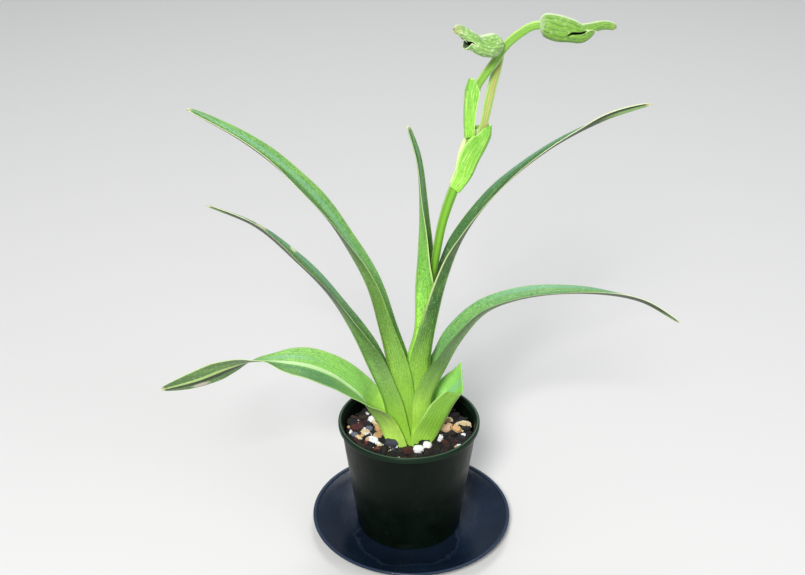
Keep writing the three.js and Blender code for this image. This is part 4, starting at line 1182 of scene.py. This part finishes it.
def chip_shape(kind, resolution, seed):
    """A chip of half-size 1: split bark is blocky and ragged, stone is rounded, a curl is a bent strip."""
    points, faces = BLOCKS[resolution]
    if kind == "curl":
        bend = np.pi * 0.62 * points[:, 0]
        ragged = np.array([noise.noise(Vector((p[0] * 3, p[1], seed))) for p in points]) * 0.06
        ring = 1 - 0.2 * (points[:, 1] + 1) + ragged
        height = points[:, 2] * (1 + ragged * 3)
        return np.stack([ring * np.sin(bend), ring * np.cos(bend) - 0.3, height], -1), faces
    roundness, rough, fine = CHIP_FORMS[kind]
    points = points * (1 - roundness) * 0.92 + unit(points) * roundness
    for k, p in enumerate(points):
        spot = Vector(p) * fine + Vector((seed * 7.3, seed * 1.7, 0))
        points[k] = p * (1 + rough * noise.noise(spot) + 0.4 * rough * noise.noise(spot * 3.1))
    return points, faces


class ChipHeap:
    """Collects chips into one mesh with a tint and a grain place for every point."""

    def __init__(self):
        self.points, self.faces, self.tints, self.grain = [], [], [], []
        self.count = 0

    def add(self, kind, centre, size, turn, colour, resolution, seed):
        points, faces = chip_shape(kind, resolution, seed)
        points = points * np.array(size)
        spin = Euler(turn).to_matrix()
        placed = np.array([spin @ Vector(p) for p in points]) + np.array(centre)
        reach = np.hypot(placed[:, 0] - POT_X, placed[:, 1])
        limit = np.array([wall_radius(z) - POT_WALL - 0.4 for z in placed[:, 2]])
        shrink = np.minimum(1, limit / np.maximum(reach, 1e-6))
        placed[:, 0] = POT_X + (placed[:, 0] - POT_X) * shrink
        placed[:, 1] *= shrink
        self.faces += [tuple(self.count + i for i in face) for face in faces]
        self.points.append(placed)
        self.tints.append(np.tile(srgb(*colour)[:3], (len(placed), 1)))
        self.grain.append(points + seed * 11.0)
        self.count += len(placed)

    def piece(self, name, material):
        points = np.vstack(self.points)
        values = {"chip_tint": np.vstack(self.tints), "chip_grain": np.vstack(self.grain)}
        make_piece(name, points, self.faces, material, (), values, sharp=38)


def chip_material():
    """Split bark, charcoal and pale stone: each chip's own tint with grain, pits and dark seams."""
    skin = Surface("chip_surface")
    tint = skin.vector("chip_tint")
    grain = skin.vector("chip_grain")
    fibres = skin.noise(grain, (0.35, 1.6, 1.6), 4.0, 0.65)
    pits = skin.noise(grain, 2.4, 3.0, 0.6)
    seams = skin.mix(skin.step(fibres, 0.35, 0.7, 0.55), tint, srgb(38, 26, 20), "MULTIPLY")
    skin.colour = skin.mix(skin.step(fibres, 0.5, 0.25, 0.3), tint, seams)
    skin.layer((22, 18, 16), pits, 0.62, 0.72, 0.6, "MULTIPLY")
    skin.layer((255, 244, 220), skin.noise(grain, 0.5, 2.0), 0.55, 0.75, 0.25, "SOFT_LIGHT")
    rough = skin.ramp(pits, 0.2, 0.8, 0.6, 0.9)
    return skin.finish(rough, skin.add(pits, 0.7, fibres), depth=0.0008, strength=1.0)


def soil_material():
    """Fine dark bark crumbs between the chips."""
    skin = Surface("soil_surface")
    place = skin.object_place()
    crumbs = skin.noise(place, 900.0, 4.0, 0.7)
    clumps = skin.noise(place, 260.0)
    skin.base((10, 8, 8), (34, 26, 21), skin.step(crumbs, 0.3, 0.75))
    skin.layer((58, 40, 28), clumps, 0.6, 0.75, 0.4)
    return skin.finish(0.95, skin.add(crumbs, 0.5, clumps), depth=0.0012, strength=1.0)


def add_soil():
    """Plug of mix from the pot's floor up to a lumpy top."""
    outline = [[0, POT_FLOOR_TOP], [wall_radius(POT_FLOOR_TOP) - POT_WALL - 0.3, POT_FLOOR_TOP],
               [wall_radius(MIX_FRONT_TOP) - POT_WALL - 0.3, MIX_FRONT_TOP]]
    outline += [[r, 0] for r in np.linspace(PLUG_REACH, 1.5, 30)] + [[0, 0]]
    points, faces = turned(outline, sides=120)
    for p in points:
        if p[2] == 0:
            x, y = p[0] + POT_X, p[1]
            lumps = noise.noise(Vector((x, y, 0)) * 0.3) + 0.5 * noise.noise(Vector((x, y, 5)) * 0.8)
            p[2] = mix_height(x, y) - 0.6 + 0.9 * lumps
    points[:, 0] += POT_X
    make_piece("mix_plug", points, faces, soil_material(), ("potting_mix",), sharp=60)


def in_fan(x, y, margin):
    """Whether a spot at the mix's top lies among the leaf bases."""
    return abs(x - FAN_X) < FAN_REACH + margin and abs(y - FAN_Y) < FAN_DEPTH + margin


def on_named_chip(x, y):
    """Whether a place lies on one of the chips placed by name."""
    return any(kind != "curl" and math.hypot(x - place[0], y - place[1]) < 0.7 * size[0]
               for kind, place, size, _, _ in NAMED_CHIPS)


def spot_on_mix(k, count, radius, turn):
    """The k-th of so many places spread evenly within a radius."""
    r = radius * math.sqrt((k + 0.5) / count)
    angle = k * GOLDEN_ANGLE + turn
    return POT_X + r * math.cos(angle), r * math.sin(angle)


def add_named_chips(heap, draw):
    for seed, (kind, place, size, turn, colour) in enumerate(NAMED_CHIPS):
        tilt = (0.3 * (draw.random() - 0.5), 0.3 * (draw.random() - 0.5), math.radians(turn))
        heap.add(kind, place, size, tilt, colour, FINE, seed + 0.5)


def add_medium_chips(heap, draw):
    for k in range(MEDIUM_CHIPS):
        x, y = spot_on_mix(k, MEDIUM_CHIPS, MEDIUM_REACH, 0.4 * draw.random())
        size = 2.1 + 2.3 * draw.random()
        turn = (0.9 * (draw.random() - 0.5), 0.9 * (draw.random() - 0.5), 2 * math.pi * draw.random())
        shape = (size * (0.9 + 0.5 * draw.random()), size * (0.6 + 0.3 * draw.random()),
                 size * (0.35 + 0.3 * draw.random()))
        colour = draw.choices(*LOOSE_BARK)[0]
        kind = "stone" if draw.random() < STONE_SHARE else "bark"
        lift = 0.2 + 1.1 * draw.random()
        if in_fan(x, y, 0.6 * size) or on_named_chip(x, y):
            continue
        if kind == "stone":
            colour = STONE_WHITE
        heap.add(kind, (x, y, mix_height(x, y) + lift), shape, turn, colour, MEDIUM, 50 + k)


def add_small_chips(heap, draw):
    for k in range(SMALL_CHIPS):
        x, y = spot_on_mix(k, SMALL_CHIPS, SMALL_REACH, 1.3)
        size = 0.9 + 1.1 * draw.random()
        turn = (draw.random(), draw.random(), 2 * math.pi * draw.random())
        shape = (size * 1.2, size * 0.8, size * 0.6)
        colour = draw.choices(*LOOSE_BARK)[0]
        lift = 0.4 + 1.4 * draw.random()
        if in_fan(x, y, 0.3) or on_named_chip(x, y):
            continue
        heap.add("bark", (x, y, mix_height(x, y) + lift), shape, turn, colour, COARSE, 400 + k)


def add_chips():
    draw = random.Random(11)
    heap = ChipHeap()
    add_named_chips(heap, draw)
    add_medium_chips(heap, draw)
    add_small_chips(heap, draw)
    heap.add(*SPLINTER, FINE, 0.25)
    heap.piece("bark_chips", chip_material())


# Stage

def add_stage():
    bpy.ops.mesh.primitive_plane_add(size=12, location=(0, 2, 0))
    floor = bpy.context.object
    floor.name = "floor"
    paint = Surface("floor_paint")
    paint.set(Base_Color=(0.62, 0.62, 0.61, 1), Roughness=0.75)
    floor.data.materials.append(paint.material)
    world = bpy.data.worlds.new("studio")
    bpy.context.scene.world = world
    world.use_nodes = True
    backdrop = world.node_tree.nodes["Background"]
    backdrop.inputs["Color"].default_value = (0.9, 0.94, 1.0, 1)
    backdrop.inputs["Strength"].default_value = 0.36


def add_light(name, place, aim, size, power, colour=(1, 1, 1)):
    lamp = bpy.data.lights.new(name, "AREA")
    lamp.shape = "DISK"
    lamp.size = size
    lamp.energy = power
    lamp.color = colour
    lamp_object = bpy.data.objects.new(name, lamp)
    lamp_object.location = place
    lamp_object.rotation_euler = (Vector(aim) - Vector(place)).to_track_quat("-Z", "Y").to_euler()
    bpy.context.scene.collection.objects.link(lamp_object)


def add_lights():
    middle = (0, 0, 0.18)
    add_light("key", (-0.45, -2.3, 2.05), middle, size=0.8, power=118, colour=(1.0, 0.99, 0.97))
    add_light("fill", (1.8, -1.3, 1.2), middle, size=1.2, power=10, colour=(0.93, 0.96, 1.0))
    add_light("top", (0.2, 1.5, 2.6), middle, size=1.4, power=30)


def add_camera():
    data = bpy.data.cameras.new("camera")
    data.sensor_width = 36
    data.lens = FOCAL_PIXELS / IMAGE_WIDTH * data.sensor_width
    data.clip_start = 0.05
    data.clip_end = 40
    camera = bpy.data.objects.new("camera", data)
    camera.location = CAMERA_PLACE
    camera.rotation_euler = (math.radians(90 - CAMERA_PITCH), 0, math.radians(CAMERA_YAW))
    bpy.context.scene.collection.objects.link(camera)
    bpy.context.scene.camera = camera


bpy.context.scene.view_settings.view_transform = "Standard"
add_camera()
add_lights()
add_stage()
add_saucer()
add_pot()
add_soil()
add_chips()
add_leaves()
add_flower_stem()
add_buds()

bpy.context.view_layer.update()
